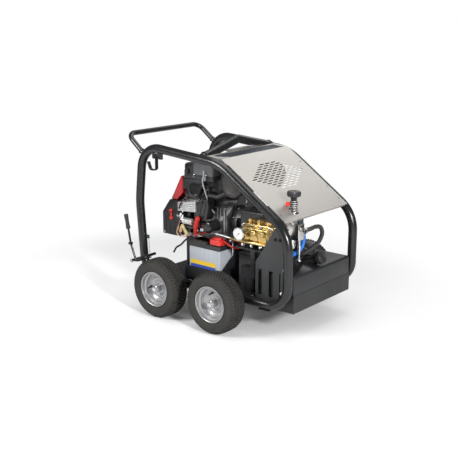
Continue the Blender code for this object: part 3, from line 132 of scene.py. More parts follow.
def aim(obj, place, target):
    """Stand a lamp or the camera at a place, looking at the target."""
    obj.location = place
    obj.rotation_mode = "QUATERNION"
    obj.rotation_quaternion = (Vector(target) - Vector(place)).to_track_quat("-Z", "Y")


def soft_box(name, place, size, power):
    """Rectangular lamp aimed at the middle of the machine."""
    lamp = bpy.data.lights.new(name, "AREA")
    lamp.shape = "RECTANGLE"
    lamp.size, lamp.size_y = size
    lamp.energy = power
    obj = bpy.data.objects.new(name, lamp)
    scene.collection.objects.link(obj)
    aim(obj, place, (0, 0, 0.4))


def make_camera():
    """A long lens at the left front, a little above the hood."""
    turn, rise, away = math.radians(39.47), math.radians(14.28), 4.765
    target = Vector((-0.0745, 0.0, 0.4395))
    back = Vector((math.sin(turn) * math.cos(rise), -math.cos(turn) * math.cos(rise),
        math.sin(rise)))
    data = bpy.data.cameras.new("studio_camera")
    data.sensor_width = 36.0
    data.lens = 65.43
    camera = bpy.data.objects.new("studio_camera", data)
    scene.collection.objects.link(camera)
    aim(camera, target + back * away, target)
    scene.camera = camera


make_world()
make_floor()
soft_box("key_box", (-1.4, -3.3, 2.4), (1.2, 1.6), 118)
soft_box("front_box", (3.8, -1.7, 1.9), (0.6, 0.5), 172)
soft_box("top_box", (0.0, 0.3, 3.6), (2.4, 2.6), 52)
soft_box("hood_box", (-0.8, 3.4, 3.0), (3.0, 2.2), 34)
make_camera()


# ---- side frames ------------------------------------------------------------
# Each side is one closed loop of 48.3 mm steel tube, bent cold, with the axle
# bosses welded through its bottom run.  It is powder coated gloss black.
TUBE_R = 0.0242
RAIL_Y = 0.305
RAIL_Z = 0.178
FRONT_POST = 0.7833
REAR_FOOT = -0.2238
KNEE = (-0.256, 0.604)
SHOULDER = (-0.2212, 0.9244)
BROW = (0.336, 0.8776)
CHIN_Z = 0.572
BOSS_R = 0.019
BOSS_Y = (0.278, 0.35)
WELD_R = 0.0032
rear_axle = sum(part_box("rear_axle"), Vector()) / 2
front_axle = sum(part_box("front_axle"), Vector()) / 2


def at(station, y, z):
    """Point from a station, Y and Z."""
    return Vector((rear_axle.x + station, y, z))


def mm(*rows):
    """Rows of sizes that are written in millimetres."""
    return [tuple(size / 1000 for size in row) for row in rows]


def node_finish(name, colour, roughness, drift, metallic=0.0, cloud=9.0, grain=0.0015, bump=0.05,
        dust=None, coat=0.0, stretch=(1, 1, 1)):
    """Finish whose colour and gloss drift in soft clouds over a fine grain.

    drift is how far the colour wanders, cloud how many clouds there are to a
    metre, grain the size of the grain and bump its height against that size.
    dust is a second colour that lies in patches, and coat a clear top coat.
    """
    mat = bpy.data.materials.new(name)
    mat.use_nodes = True
    tree = mat.node_tree
    shader = tree.nodes["Principled BSDF"]
    shader.inputs["Metallic"].default_value = metallic
    shader.inputs["Coat Weight"].default_value = coat
    shader.inputs["Coat Roughness"].default_value = 0.12
    place = add_node(tree, "TexCoord").outputs["Object"]
    place = add_node(tree, "Mapping", {"Scale": stretch, "Vector": place}).outputs[0]
    clouds = add_node(tree, "TexNoise",
        {"Scale": cloud, "Detail": 6.0, "Vector": place}).outputs["Fac"]
    shades = add_node(tree, "ValToRGB", {"Fac": clouds})
    low, high = shades.color_ramp.elements
    low.position, high.position = 0.34, 0.66
    low.color = (*[c * (1 - drift) for c in colour], 1)
    high.color = (*(dust or [min(1.0, c * (1 + drift)) for c in colour]), 1)
    gloss = add_node(tree, "MapRange", {"From Min": 0.3, "From Max": 0.7, "To Min": roughness
        * 0.82, "To Max": min(1.0, roughness * 1.2), "Value": clouds})
    speckle = add_node(tree, "TexNoise", {"Scale": 1.0 / grain, "Detail": 3.0, "Vector": place})
    relief = add_node(tree, "Bump", {"Strength": 1.0, "Distance": grain * bump,
        "Height": speckle.outputs["Fac"]})
    for word, source in (("Base Color", shades.outputs["Color"]),
            ("Roughness", gloss.outputs["Result"]), ("Normal", relief.outputs["Normal"])):
        tree.links.new(source, shader.inputs[word])
    return mat


def mesh_object(name, bm, sharp=32.0):
    """Object from a bmesh, with outward faces, smooth shading and crisp edges."""
    bmesh.ops.recalc_face_normals(bm, faces=bm.faces)
    mesh = bpy.data.meshes.new(name)
    bm.to_mesh(mesh)
    bm.free()
    mesh.shade_smooth()
    mesh.set_sharp_from_angle(angle=math.radians(sharp))
    obj = bpy.data.objects.new(name, mesh)
    scene.collection.objects.link(obj)
    return obj


def fit(obj, finish, stands_for=(), body="chassis"):
    """Give a piece its finish and body, and hide the frame's nodes that it stands for."""
    obj.data.materials.clear()
    obj.data.materials.append(finish)
    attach(obj, body)
    if stands_for:
        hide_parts(*stands_for)
    return obj


def rounded_path(corners, step=math.radians(5)):
    """Points through corners given as (point, bend radius), with an arc at each."""
    points = []
    count = len(corners)
    for i, (corner, radius) in enumerate(corners):
        corner = Vector(corner)
        if radius == 0:
            points.append(corner)
            continue
        back = (Vector(corners[i - 1][0]) - corner).normalized()
        ahead = (Vector(corners[(i + 1) % count][0]) - corner).normalized()
        half = back.angle(ahead) / 2
        centre = corner + (back + ahead).normalized() * radius / math.sin(half)
        start = corner + back * radius / math.tan(half) - centre
        turn = math.pi - 2 * half
        axis = start.cross(-back).normalized()
        arcs = max(2, math.ceil(turn / step))
        for k in range(arcs + 1):
            points.append(centre + Matrix.Rotation(turn * k / arcs, 3, axis) @ start)
    return points


def skin(bm, rings, closed=False):
    """Bridge a row of vertex rings with quads, and cap the ends of an open row."""
    count = len(rings[0])
    pairs = list(zip(rings, rings[1:]))
    if closed:
        pairs.append((rings[-1], rings[0]))
    for first, second in pairs:
        for i in range(count):
            j = (i + 1) % count
            bm.faces.new((first[i], first[j], second[j], second[i]))
    if not closed:
        bm.faces.new(rings[0])
        bm.faces.new(rings[-1])


def tube_mesh(path, radius, side, sides=28, closed=False, widths=None):
    """Bmesh of a round tube along a path; widths gives its radius at each point."""
    bm = bmesh.new()
    rings = []
    normal = Vector(side)
    count = len(path)
    for i, point in enumerate(path):
        before = path[i - 1] if closed or i > 0 else path[0]
        after = path[(i + 1) % count] if closed or i < count - 1 else path[-1]
        incoming = (point - before).normalized()
        outgoing = (after - point).normalized()
        tangent = (incoming + outgoing).normalized()
        normal = (normal - tangent * normal.dot(tangent)).normalized()
        across = tangent.cross(normal)
        reach = widths[i] if widths else radius
        rings.append([bm.verts.new(point + (normal * math.cos(a) + across * math.sin(a)) * reach)
            for a in (math.tau * k / sides for k in range(sides))])
    skin(bm, rings, closed)
    return bm


def lathe(name, profile, centre, axis, steps=64, ring=False, ribs=0):
    """Turned piece.  profile holds (radius, distance along the axis from centre).

    With ring set the profile is a closed outline clear of the axis, and
    otherwise it runs from one end on the axis to the other.  With ribs given,
    a third number in a row is how deep the grooves between the ribs go there.
    """
    bm = bmesh.new()
    along = Vector(axis).normalized()
    spin_x = along.cross(Vector((0, 0, 1))).normalized() if abs(along.z) < 0.99 else Vector((1, 0, 0))
    spin_y = along.cross(spin_x)
    steps = ribs * 6 if ribs else steps
    radials = [spin_x * math.cos(a) + spin_y * math.sin(a)
        for a in (math.tau * k / steps for k in range(steps))]
    rows = []
    for radius, distance, *groove in profile:
        base = Vector(centre) + along * distance
        deep = [groove[0] * (0.5 - 0.5 * math.cos(math.tau * k / 6)) if groove else 0.0
            for k in range(steps)]
        rows.append([bm.verts.new(base)] * steps if radius == 0
            else [bm.verts.new(base + r * (radius - d)) for r, d in zip(radials, deep)])
    pairs = list(zip(rows, rows[1:]))
    if ring:
        pairs.append((rows[-1], rows[0]))
    for first, second in pairs:
        for i in range(steps):
            j = (i + 1) % steps
            corners = list(dict.fromkeys((first[i], first[j], second[j], second[i])))
            if len(corners) > 2:
                bm.faces.new(corners)
    return mesh_object(name, bm)


def merged(name, pieces):
    """Join several made objects into one, under a new name."""
    bm = bmesh.new()
    for piece in pieces:
        bm.from_mesh(piece.data)
        bpy.data.objects.remove(piece)
    mesh = bpy.data.meshes.new(name)
    bm.to_mesh(mesh)
    bm.free()
    obj = bpy.data.objects.new(name, mesh)
    scene.collection.objects.link(obj)
    return obj


def weld_ring(centre, axis, radius, bead=WELD_R):
    """Weld bead run round a joint, with the ripples that a hand weld has."""
    along = Vector(axis).normalized()
    spin_x = along.orthogonal().normalized()
    spin_y = along.cross(spin_x)
    steps = 72
    path = []
    widths = []
    for k in range(steps):
        angle = math.tau * k / steps
        path.append(Vector(centre) + (spin_x * math.cos(angle) + spin_y * math.sin(angle)) * radius)
        widths.append(bead * (1 + 0.12 * math.cos(angle * 24)))
    return mesh_object("weld", tube_mesh(path, bead, along, 10, closed=True, widths=widths))


powder_black = node_finish("powder_coat_black", (0.0085, 0.0088, 0.0098), 0.25, drift=0.06,
    grain=0.0012, bump=0.01)


def side_loop(side):
    """Centreline of a side frame."""
    y = side * RAIL_Y
    return [(at(REAR_FOOT, y, RAIL_Z), 0.12), (at(FRONT_POST, y, RAIL_Z), 0.12),
        (at(FRONT_POST, y, CHIN_Z), 0.19), (at(BROW[0], y, BROW[1]), 0.28),
        (at(SHOULDER[0], y, SHOULDER[1]), 0.13), (at(KNEE[0], y, KNEE[1]), 0.5)]


def make_side_frame(word, side):
    tube = mesh_object("tube", tube_mesh(rounded_path(side_loop(side)), TUBE_R, (0, 1, 0),
        closed=True))
    pieces = [tube]
    inner, outer = BOSS_Y
    bore, length = 0.0105, outer - inner
    for axle in (rear_axle, front_axle):
        centre = Vector((axle.x, side * inner, axle.z))
        profile = [(bore, 0), (BOSS_R - 0.001, 0), (BOSS_R, 0.001), (BOSS_R, length - 0.001),
            (BOSS_R - 0.001, length), (bore, length)]
        pieces.append(lathe("boss", profile, centre, (0, side, 0), 40, ring=True))
        for reach in (TUBE_R - 0.0015, 0.0015 - TUBE_R):
            pieces.append(weld_ring((axle.x, side * (RAIL_Y + reach), axle.z), (0, 1, 0), BOSS_R
                + 0.0005))
    return fit(merged("side_tube_" + word, pieces), powder_black,
        ["side_frame_" + word])


for side, word in ((-1, "left"), (1, "right")):
    make_side_frame(word, side)


def dark_hole(name, centre, out, radius):
    """Drilled hole seen as a dark disc with a thin raised burr round it."""
    profile = [(0, 0.0002), (radius * 0.86, 0.0002), (radius * 0.9, 0.0009), (radius, 0.001),
        (radius * 1.08, 0.0)]
    return fit(lathe(name, profile, centre, out, 24), powder_black)


# ---- push handle and lifting bow --------------------------------------------
# The handle is 29 mm tube and the bow 48.3 mm tube, both saddle cut and welded
# between the two side frames, and coated together with them.
HANDLE_R = 0.0145
BOW_STATION = 0.214


def make_handle():
    low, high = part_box("push_handle")
    back = low.x + HANDLE_R - rear_axle.x
    top, half = high.z - HANDLE_R, 0.302
    foot = (-0.212, 0.872)
    corners = [(at(foot[0], -RAIL_Y, foot[1]), 0), (at(back, -half, top), 0.055),
        (at(back, half, top), 0.055), (at(foot[0], RAIL_Y, foot[1]), 0)]
    path = rounded_path(corners)
    pieces = [mesh_object("bar", tube_mesh(path, HANDLE_R, (0, 1, 0), 24))]
    for end, inward in ((path[0], path[1]), (path[-1], path[-2])):
        along = (inward - end).normalized()
        pieces.append(weld_ring(end + along * (TUBE_R + 0.004), along, HANDLE_R + 0.0008, 0.0028))
    return fit(merged("handle_bar", pieces), powder_black, ["push_handle"])


def make_bow():
    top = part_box("lifting_bow")[1].z - TUBE_R + 0.0007
    end_y, foot = RAIL_Y - 0.004, 0.895
    corners = [(at(BOW_STATION, -end_y, foot), 0), (at(BOW_STATION, 0, top), 0.05),
        (at(BOW_STATION, end_y, foot), 0)]
    path = rounded_path(corners, step=math.radians(3))
    pieces = [mesh_object("bar", tube_mesh(path, TUBE_R, (1, 0, 0)))]
    for end, inward in ((path[0], path[1]), (path[-1], path[-2])):
        along = (inward - end).normalized()
        pieces.append(weld_ring(end + along * (TUBE_R - 0.002), along, TUBE_R + 0.001))
    return fit(merged("bow_bar", pieces), powder_black, ["lifting_bow"])


make_handle()
make_bow()


# ---- hood -------------------------------------------------------------------
# The hood is one 1.5 mm stainless sheet, folded once and punched with rows of
# vent slots.  It lies on the side tubes.  A dark slate sheet over its top is a
# painted reflection, and a bright zinc strip on its left hem a painted highlight.
SHEET = 0.0015
HOOD_HALF = 0.294
VENT_ROWS = 13
VENT_MIDDLE = 9
SLOT = (0.0395, 0.0076)
SLOT_PITCH = (0.051, 0.0152)
VENT_DOWN = 0.181
hood_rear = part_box("hood_panel")[0].x - rear_axle.x
slope = (Vector((FRONT_POST, CHIN_Z)) - Vector(BROW)).normalized()
crown = (Vector(BROW) - Vector(SHOULDER)).normalized()
slope_up = Vector((-slope.y, slope.x))
crown_up = Vector((-crown.y, crown.x))
hood_seat = math.sqrt(TUBE_R ** 2 - (RAIL_Y - HOOD_HALF) ** 2) + 0.0003


def hood_fold(height):
    """Where the two faces of the fold meet, this far above the tube centres."""
    first, second = Vector(BROW) + crown_up * height, Vector(BROW) + slope_up * height
    scale = (second - first).cross(slope) / crown.cross(slope)
    return first + crown * scale


def on_slope(down, y, lift=0.0):
    """Point on the sloping face, this far below the fold."""
    spot = hood_fold(hood_seat + SHEET + lift) + slope * down
    return at(spot.x, y, spot.y)


def on_crown(back, y):
    """Point just over the top face, this far behind the fold."""
    spot = hood_fold(hood_seat + SHEET + 0.0006) - crown * back
    return at(spot.x, y, spot.y)


def plate(name, outline, low, high, across="Y", edge=0.0, segments=2):
    """Plate with an outline in station and Z (or Y and Z, or station and Y), extruded."""
    place = {"Y": lambda u, v, w: at(u, w, v), "X": lambda u, v, w: at(w, u, v), "Z": lambda u, v,
        w: at(u, v, w)}[across]
    bm = bmesh.new()
    skin(bm, [[bm.verts.new(place(u, v, w)) for u, v in outline] for w in (low, high)])
    if edge:
        sharp = [e for e in bm.edges if e.calc_face_angle(0) > math.radians(30)]
        bmesh.ops.bevel(bm, geom=sharp, offset=edge, segments=segments, profile=0.5, affect="EDGES")
    return mesh_object(name, bm)


def boolean(target, operation, *tools):
    """Cut or fuse made pieces into the target, and use them up."""
    for tool in tools:
        step = target.modifiers.new("step", "BOOLEAN")
        step.operation, step.solver, step.object = operation, "EXACT", tool
        finished = target.evaluated_get(bpy.context.evaluated_depsgraph_get())
        result = bpy.data.meshes.new_from_object(finished)
        target.modifiers.remove(step)
        target.data = result
        bpy.data.objects.remove(tool)
    target.data.shade_smooth()
    target.data.set_sharp_from_angle(angle=math.radians(32))
    return target


def slot_outline(length, width):
    """Round-ended slot about its own middle."""
    points = []
    arcs = 6
    for end in (1, -1):
        for k in range(arcs + 1):
            angle = end * math.pi / 2 - math.pi * k / arcs
            points.append((end * (length - width) / 2 + width / 2 * math.cos(angle), width / 2
                * math.sin(angle)))
    return points


stainless = node_finish("brushed_stainless", (0.475, 0.455, 0.425), 0.4, metallic=0.8, drift=0.06,
    cloud=5.0, grain=0.0012, bump=0.018, stretch=(1.0, 0.06, 1.0))
black_rubber = node_finish("black_rubber", (0.022, 0.022, 0.023), 0.62, drift=0.15, cloud=30,
    grain=0.0008, bump=0.06)


def make_hood():
    faces = []
    for height, bend in ((hood_seat, 0.01), (hood_seat + SHEET, 0.0115)):
        fold = hood_fold(height)
        rear = fold + crown * (hood_rear - fold.x) / crown.x
        front = fold + slope * (0.75 - fold.x) / slope.x
        line = [((p.x, 0, p.y), r) for p, r in ((rear, 0), (fold, bend), (front, 0))]
        faces.append([(p.x, p.z) for p in rounded_path(line)])
    under, over = faces
    hood = plate("hood_sheet", under + over[::-1], -HOOD_HALF, HOOD_HALF)
    tip = Vector(over[-1])
    inner = tip - slope * SHEET
    drop = slope_up * (SHEET + 0.012)
    rim = [tip - slope_up * 0.0007, tip - drop, inner - drop, inner - slope_up * 0.0007]
    lip = plate("lip", [tuple(p) for p in rim], -0.2758, 0.2758)
    notches = []
    for side in (-1, 1):
        inner_y, outer_y = side * 0.1, side * (HOOD_HALF + 0.01)
        outline = [(0.185, inner_y), (0.242, inner_y + side * 0.02), (0.242, outer_y),
            (0.185, outer_y)]
        notches.append(plate("notch", outline, 0.85, 0.97, across="Z"))
    knob_low, knob_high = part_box("regulator_knob")
    valve = (knob_low + knob_high) / 2
    hole = lathe("hole", mm((0, 0), (26, 0), (26, 120), (0, 120)), (valve.x, valve.y, 0.6),
        (0, 0, 1), 48)
    boolean(hood, "UNION", lip)
    boolean(hood, "DIFFERENCE", *notches, hole, vent_punch())
    return fit(hood, stainless, ["hood_panel"])


def vent_punch():
    """Punch for the vent: staggered rows of slots that narrow from nine to three."""
    bm = bmesh.new()
    for row in range(VENT_ROWS):
        from_middle = row - (VENT_ROWS - 1) // 2
        count = VENT_MIDDLE - abs(from_middle)
        down = VENT_DOWN + from_middle * SLOT_PITCH[1]
        for k in range(count):
            y = (k - (count - 1) / 2) * SLOT_PITCH[0]
            rings = [[bm.verts.new(on_slope(down + v, y + u, lift)) for u, v in slot_outline(*SLOT)]
                for lift in (-0.006, 0.006)]
            skin(bm, rings)
    return mesh_object("punch", bm)


def make_hood_trim():
    """Dark slate sheet over the top as a painted reflection, small screws, and the edging along the
    left side, whose bright zinc hem strip is a painted highlight.
    """
    # The slate sheet over the crown is a painted reflection: its dark colour stands in for the dark
    # surroundings that the flat top face reflects.
    slate = node_finish("slate_vinyl", (0.045, 0.058, 0.075), 0.38, drift=0.06, grain=0.0008,
        bump=0.02)
    film = bmesh.new()
    outline = ((0.012, -0.205), (0.012, 0.262), (0.083, 0.262), (0.083, -0.262), (0.06, -0.262))
    face = film.faces.new([film.verts.new(on_crown(back, y)) for back, y in outline])
    bmesh.ops.solidify(film, geom=[face], thickness=0.0004)
    fit(mesh_object("crown_film", film), slate)
    zinc = node_finish("bright_zinc", (0.62, 0.62, 0.63), 0.26, metallic=1.0, drift=0.08, cloud=40)
    dull = node_finish("dull_steel_screw", (0.16, 0.16, 0.17), 0.42, metallic=0.8, drift=0.1,
        cloud=40)
    screws = [(0.137, -0.281), (0.127, 0.267), (0.178, 0.216), (0.34, 0.28), (0.44, -0.27),
        (0.44, 0.27)]
    for i, (down, y) in enumerate(screws):
        out = (on_slope(down, y, 0.01) - on_slope(down, y)).normalized()
        head = lathe("hood_screw_%d" % (i + 1), mm((0, 2.2), (2, 2.2), (3.4, 1.4), (4, 0.3),
            (4.4, -0.4), (0, -0.4)), on_slope(down, y), out, 24)
        fit(head, dull)
    # The zinc strip between the two black edgings is the bare hem, made bright zinc as a painted
    # highlight where the hem catches the light.
    for name, start, end, tall, finish, slot in (("edging_upper", 0.05, 0.253, 0.0042, black_rubber,
            "black_rubber"), ("hem_strip", 0.2545, 0.364, 0.0024, zinc, "zinc_steel"),
            ("edging_lower", 0.3655, 0.489, 0.0042, black_rubber, "black_rubber")):
        bm = bmesh.new()
        rings = [[bm.verts.new(on_slope(down, y, lift)) for y,
            lift in ((-HOOD_HALF + 0.002, 0.0002), (-HOOD_HALF - 0.005, 0.0002),
            (-HOOD_HALF - 0.005, tall * 0.8), (-HOOD_HALF - 0.0036, tall),
            (-HOOD_HALF + 0.001, tall), (-HOOD_HALF + 0.002, tall * 0.8))] for down in (start, end)]
        skin(bm, rings)
        fit(mesh_object(name, bm), finish)
    return zinc


make_hood()
zinc = make_hood_trim()


# ---- wheels -----------------------------------------------------------------
# Four pneumatic turf tyres on pressed steel rims painted silver.  The tread is
# moulded in staggered blocks with long lugs over the shoulders, and each rim
# has rolled flanges, a dished disc welded in and a hub tube with a bright cap.
WHEEL_R = 0.165
TREAD_PITCHES = 54
TREAD_DEPTH = 0.0058
RIM_STEPS = 96
wheels = {j["child"]: Vector(j["pos_m"]) for j in frame["joints"]
    if j["child"].startswith("wheel_")}

dusty_rubber = node_finish("tyre_rubber", (0.02, 0.0192, 0.0172), 0.84, drift=0.22, cloud=22,
    grain=0.0011, bump=0.1, dust=(0.034, 0.032, 0.028))
silver_paint = node_finish("silver_paint", (0.37, 0.37, 0.375), 0.36, metallic=0.7, drift=0.03,
    cloud=6, grain=0.0009, bump=0.02, coat=0.25)


def block_raised(row, part):
    """Whether a tread row stands at this sixth of a pitch: odd rows are staggered."""
    first = row in (0, 2, 4, 6)
    return part in (1, 2) if first else part in (4, 5)


def make_tyre_mesh():
    """Carcass and tread of one tyre, about its own centre with its outside along +Y."""
    parts = (0.0, 0.07, 0.43, 0.5, 0.57, 0.93)
    rows = ((-0.059, -0.0375), (-0.0355, -0.0235), (-0.0215, -0.0105), (-0.0085, 0.0085),
        (0.0105, 0.0215), (0.0235, 0.0355), (0.0375, 0.059))
    sidewall = mm((93.5, 44), (96, 47), (99, 48), (101, 50.8), (103.5, 53), (106.5, 54.5),
        (108, 56.5), (115, 58.2), (124, 59.6), (134, 60), (135.5, 59), (142, 58.8))

    def ground(y):
        """Radius of the grooves' floor at this distance from the middle."""
        return 0.1592 - 0.001 * (y / 0.0375) ** 2 - max(0.0, abs(y) - 0.0375) * 0.52

    lines = [(r, y, None) for r, y in sidewall]
    for row, (low, high) in enumerate(rows):
        low, high = -high, -low
        steps = 3 if row in (0, 6) else 1
        stations = [high - (high - low) * k / steps for k in range(steps + 1)]
        lines.append((ground(high), high, None))
        lines += [(ground(y), y - math.copysign(0.0006, y)
            * (1 if abs(y) == max(abs(high), abs(low)) else 0), row) for y in stations]
        lines.append((ground(low), low, None))
    lines += [(r, -y, None) for r, y in reversed(sidewall)]
    bm = bmesh.new()
    rings = []
    for radius, y, row in lines:
        ring = []
        for pitch in range(TREAD_PITCHES):
            for part, share in enumerate(parts):
                lift = 0.0
                if row is not None and block_raised(row, part):
                    lift = TREAD_DEPTH
                    if abs(y) >= 0.045:
                        lift = TREAD_DEPTH * (0.0595 - abs(y)) / 0.0145 + 0.0012
                angle = math.tau * (pitch + share) / TREAD_PITCHES
                reach = min(radius + lift, WHEEL_R - 0.0001)
                ring.append(bm.verts.new((reach * math.sin(angle), y, reach * math.cos(angle))))
        rings.append(ring)
    skin(bm, rings, closed=True)
    return mesh_object("tyre", bm, sharp=38)


def make_rim_mesh():
    """Pressed rim, disc and hub tube, about the wheel's centre with its outside along +Y."""
    outside = mm((98.5, 50.5), (97.5, 52.8), (95, 53), (92.5, 51.2), (90.8, 47), (89.8, 38),
        (88.5, 34.5), (85, 33), (81.5, 32.2), (79.5, 30), (78.5, 21.5), (76.5, 19), (72.5, 18.6),
        (69, 20), (65.5, 20.2), (62, 17.5), (58.5, 13), (54, 11.2), (49, 11), (44, 9.8), (39, 7),
        (33, 5.6), (26, 5.8), (22.2, 6.8), (20.5, 9.5), (20, 14), (20, 39.5), (19.2, 40.2),
        (10.8, 40.2))
    inside = mm((10.8, -44), (20, -44), (20, 2), (26, 3), (60, 10), (65, 16), (74.5, 16), (76, 12),
        (76, -30), (86, -35), (88, -47), (93, -53), (98, -52.8), (98.5, -50), (95.5, -50),
        (92, -46), (91, -35), (80, -25), (80, 12), (90.5, 31), (92.5, 46), (95.5, 50))
    return lathe("rim", outside + inside, (0, 0, 0), (0, 1, 0), RIM_STEPS, ring=True)


def tyre_valve(body, centre, out, angle):
    """Rubber tyre valve with its cap, standing in the disc."""
    radius = 0.056
    foot = centre + Vector((radius * math.cos(angle), 0, radius * math.sin(angle)))
    foot += Vector((0, out * 0.011, 0))
    lean = Vector((-math.cos(angle) * 0.15, out, -math.sin(angle) * 0.15))
    profile = mm((0, -2), (8, -2), (7.8, 2), (5.2, 6), (4.6, 18), (4, 20), (4.8, 20.5), (4.8, 31),
        (4, 32.5), (0, 33))
    valve = lathe(body.replace("wheel", "valve"), profile, foot, lean, 20)
    return fit(valve, black_rubber, body=body)


def hub_cap(place, centre, out):
    """Domed push-on cap with its washer over the axle's end."""
    profile = mm((0, 39.8), (17.8, 39.8), (18.2, 40.4), (18.2, 41.8), (16, 42.4), (15, 43.2),
        (15, 50), (14, 52.2), (10.5, 53.8), (6, 54.5), (0, 54.7))
    cap = lathe("axle_cap_" + place, profile, centre, (0, out, 0), 40)
    fit(cap, zinc)


def make_wheels():
    tyre_mesh = make_tyre_mesh()
    rim_mesh = make_rim_mesh()
    for body, centre in wheels.items():
        place = body.replace("wheel_", "")
        out = -1 if centre.y < 0 else 1
        turn = Matrix.Rotation(0.0 if out > 0 else math.pi, 4, "Z")
        for made, finish, slot, word in ((tyre_mesh, dusty_rubber, "tyre_rubber", "tyre_"),
                (rim_mesh, silver_paint, "rim_silver", "rim_")):
            piece = bpy.data.objects.new(word.replace("_", "") + "_on_" + place, made.data.copy())
            scene.collection.objects.link(piece)
            piece.matrix_world = Matrix.Translation(centre) @ turn
            fit(piece, finish, [word + place], body)
        tyre_valve(body, centre, out, math.radians(100 if "front" in place else 185))
        hub_cap(place, centre, out)
    for made in (tyre_mesh, rim_mesh):
        bpy.data.objects.remove(made)


make_wheels()


def make_axles():
    """Plain zinc plated bars through the bosses, between the caps."""
    for name in ("rear_axle", "front_axle"):
        low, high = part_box(name)
        middle = (low + high) / 2
        half = high.y - 0.014
        bar = lathe(name + "_bar", [(0, -half), (0.01, -half), (0.01, half), (0, half)], middle,
            (0, 1, 0), 32)
        fit(bar, zinc, [name])


make_axles()


# ---- chassis plate, tank box and gusset --------------------------------------
# Folded and laser cut sheet steel, painted satin black.  These solids keep the
# frame's own shape, with softened edges, and get the screws that hold them.
satin_black = node_finish("satin_black_paint", (0.012, 0.0125, 0.0135), 0.46, drift=0.16, cloud=7,
    grain=0.0011, bump=0.05)
black_screw = node_finish("black_oxide_screw", (0.02, 0.02, 0.021), 0.36, metallic=0.5, drift=0.1,
    cloud=40)


def refinish(node, finish, edge=0.0, segments=2):
    """Give one of the frame's solids a better finish and softened edges."""
    obj = frame["nodes"][node]
    for holder in obj.material_slots:
        holder.material = finish
    if edge:
        soft = obj.modifiers.new("softened", "BEVEL")
        soft.width, soft.segments, soft.limit_method = edge, segments, "ANGLE"
        soft.angle_limit = math.radians(30)
        soft.harden_normals = True
    return obj


def screw_head(name, place, out, radius, finish, kind="hex", height=None):
    """Hexagon, round or socket screw head with its washer, seated on a surface."""
    tall = height or radius * 0.75
    washer = lathe("washer", [(0, 0), (radius * 1.55, 0), (radius * 1.6, radius * 0.06),
        (radius * 1.55, radius * 0.16), (0, radius * 0.16)], place, out, 28)
    base = Vector(place) + Vector(out).normalized() * radius * 0.16
    if kind == "hex":
        head = lathe("head", [(0, 0), (radius * 0.97, 0), (radius, tall * 0.1),
            (radius, tall * 0.86), (radius * 0.88, tall), (0, tall)], base, out, 6)
    else:
        head = lathe("head", [(0, 0), (radius * 0.97, 0), (radius, tall * 0.1),
            (radius, tall * 0.85), (radius * 0.9, tall), (radius * 0.55, tall),
            (radius * 0.5, tall * 0.45), (0, tall * 0.45)], base, out, 24)
    return fit(merged(name, [washer, head]), finish)


def make_chassis():
    refinish("chassis_plate", satin_black, 0.0008)
    refinish("front_box", satin_black, 0.0012)
    refinish("hose_hook", satin_black, 0.0008)
    worn_black = node_finish("gusset_black_paint", (0.03, 0.031, 0.032), 0.42, drift=0.12, cloud=8,
        grain=0.0011, bump=0.05)
    refinish("gusset_left", worn_black, 0.0006)
    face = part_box("gusset_left")[0].y
    for i, station in enumerate((0.684, 0.712)):
        screw_head("gusset_screw_%d" % (i + 1), at(station, face, 0.525), (0, -1, 0), 0.0065,
            black_screw, kind="socket")
    for i, (station, z) in enumerate(((0.725, 0.245), (0.7415, 0.372))):
        screw_head("gusset_bolt_%d" % (i + 1), at(station, face, z), (0, -1, 0), 0.005, zinc)
    for i, station in enumerate((0.628, 0.662)):
        for side, word in ((-1, "left"), (1, "right")):
            screw_head("ear_bolt_%s_%d" % (word, i + 1), at(station, side * 0.306, 0.1525),
                (0, 0, -1), 0.006, zinc, height=0.008)


make_chassis()


def make_post_bracket():
    """Small welded lug on the rear left post, with the thin rod that hangs from it."""
    lug = plate("post_lug", [(-0.2165, 0.388), (-0.19, 0.388), (-0.188, 0.392), (-0.188, 0.404),
        (-0.192, 0.41), (-0.218, 0.41)], -0.307, -0.303, edge=0.0006)
    fit(lug, powder_black)
    path = [at(s, -0.3045, z) for s, z in ((-0.1935, 0.401), (-0.193, 0.39), (-0.1915, 0.36),
        (-0.189, 0.32), (-0.1872, 0.295), (-0.1868, 0.285))]
    fit(mesh_object("lug_rod", tube_mesh(path, 0.0018, (0, 1, 0), 12)), zinc)
    for i, (station, z) in enumerate(((-0.081, 0.9126), (0.024, 0.9002))):
        down = Vector((0, -1, 0))
        dark_hole("tube_hole_%d" % (i + 1), at(station, -RAIL_Y - TUBE_R + 0.0004, z), down, 0.0042)


make_post_bracket()


# ---- fuel tank ---------------------------------------------------------------
# A rotation moulded tank fills the box and stands above it, with soft corners
# and a sloping filler neck under a ribbed screw cap.
tank_skin = node_finish("tank_polyethylene", (0.011, 0.0115, 0.0125), 0.4, drift=0.1, cloud=6,
    grain=0.0016, bump=0.1)
cap_plastic = node_finish("ribbed_cap_plastic", (0.016, 0.016, 0.017), 0.46, drift=0.1, cloud=30,
    grain=0.0009, bump=0.06)
NECK_TILT = math.radians(28)
CAP_R = 0.036
CAP_THICK = 0.026


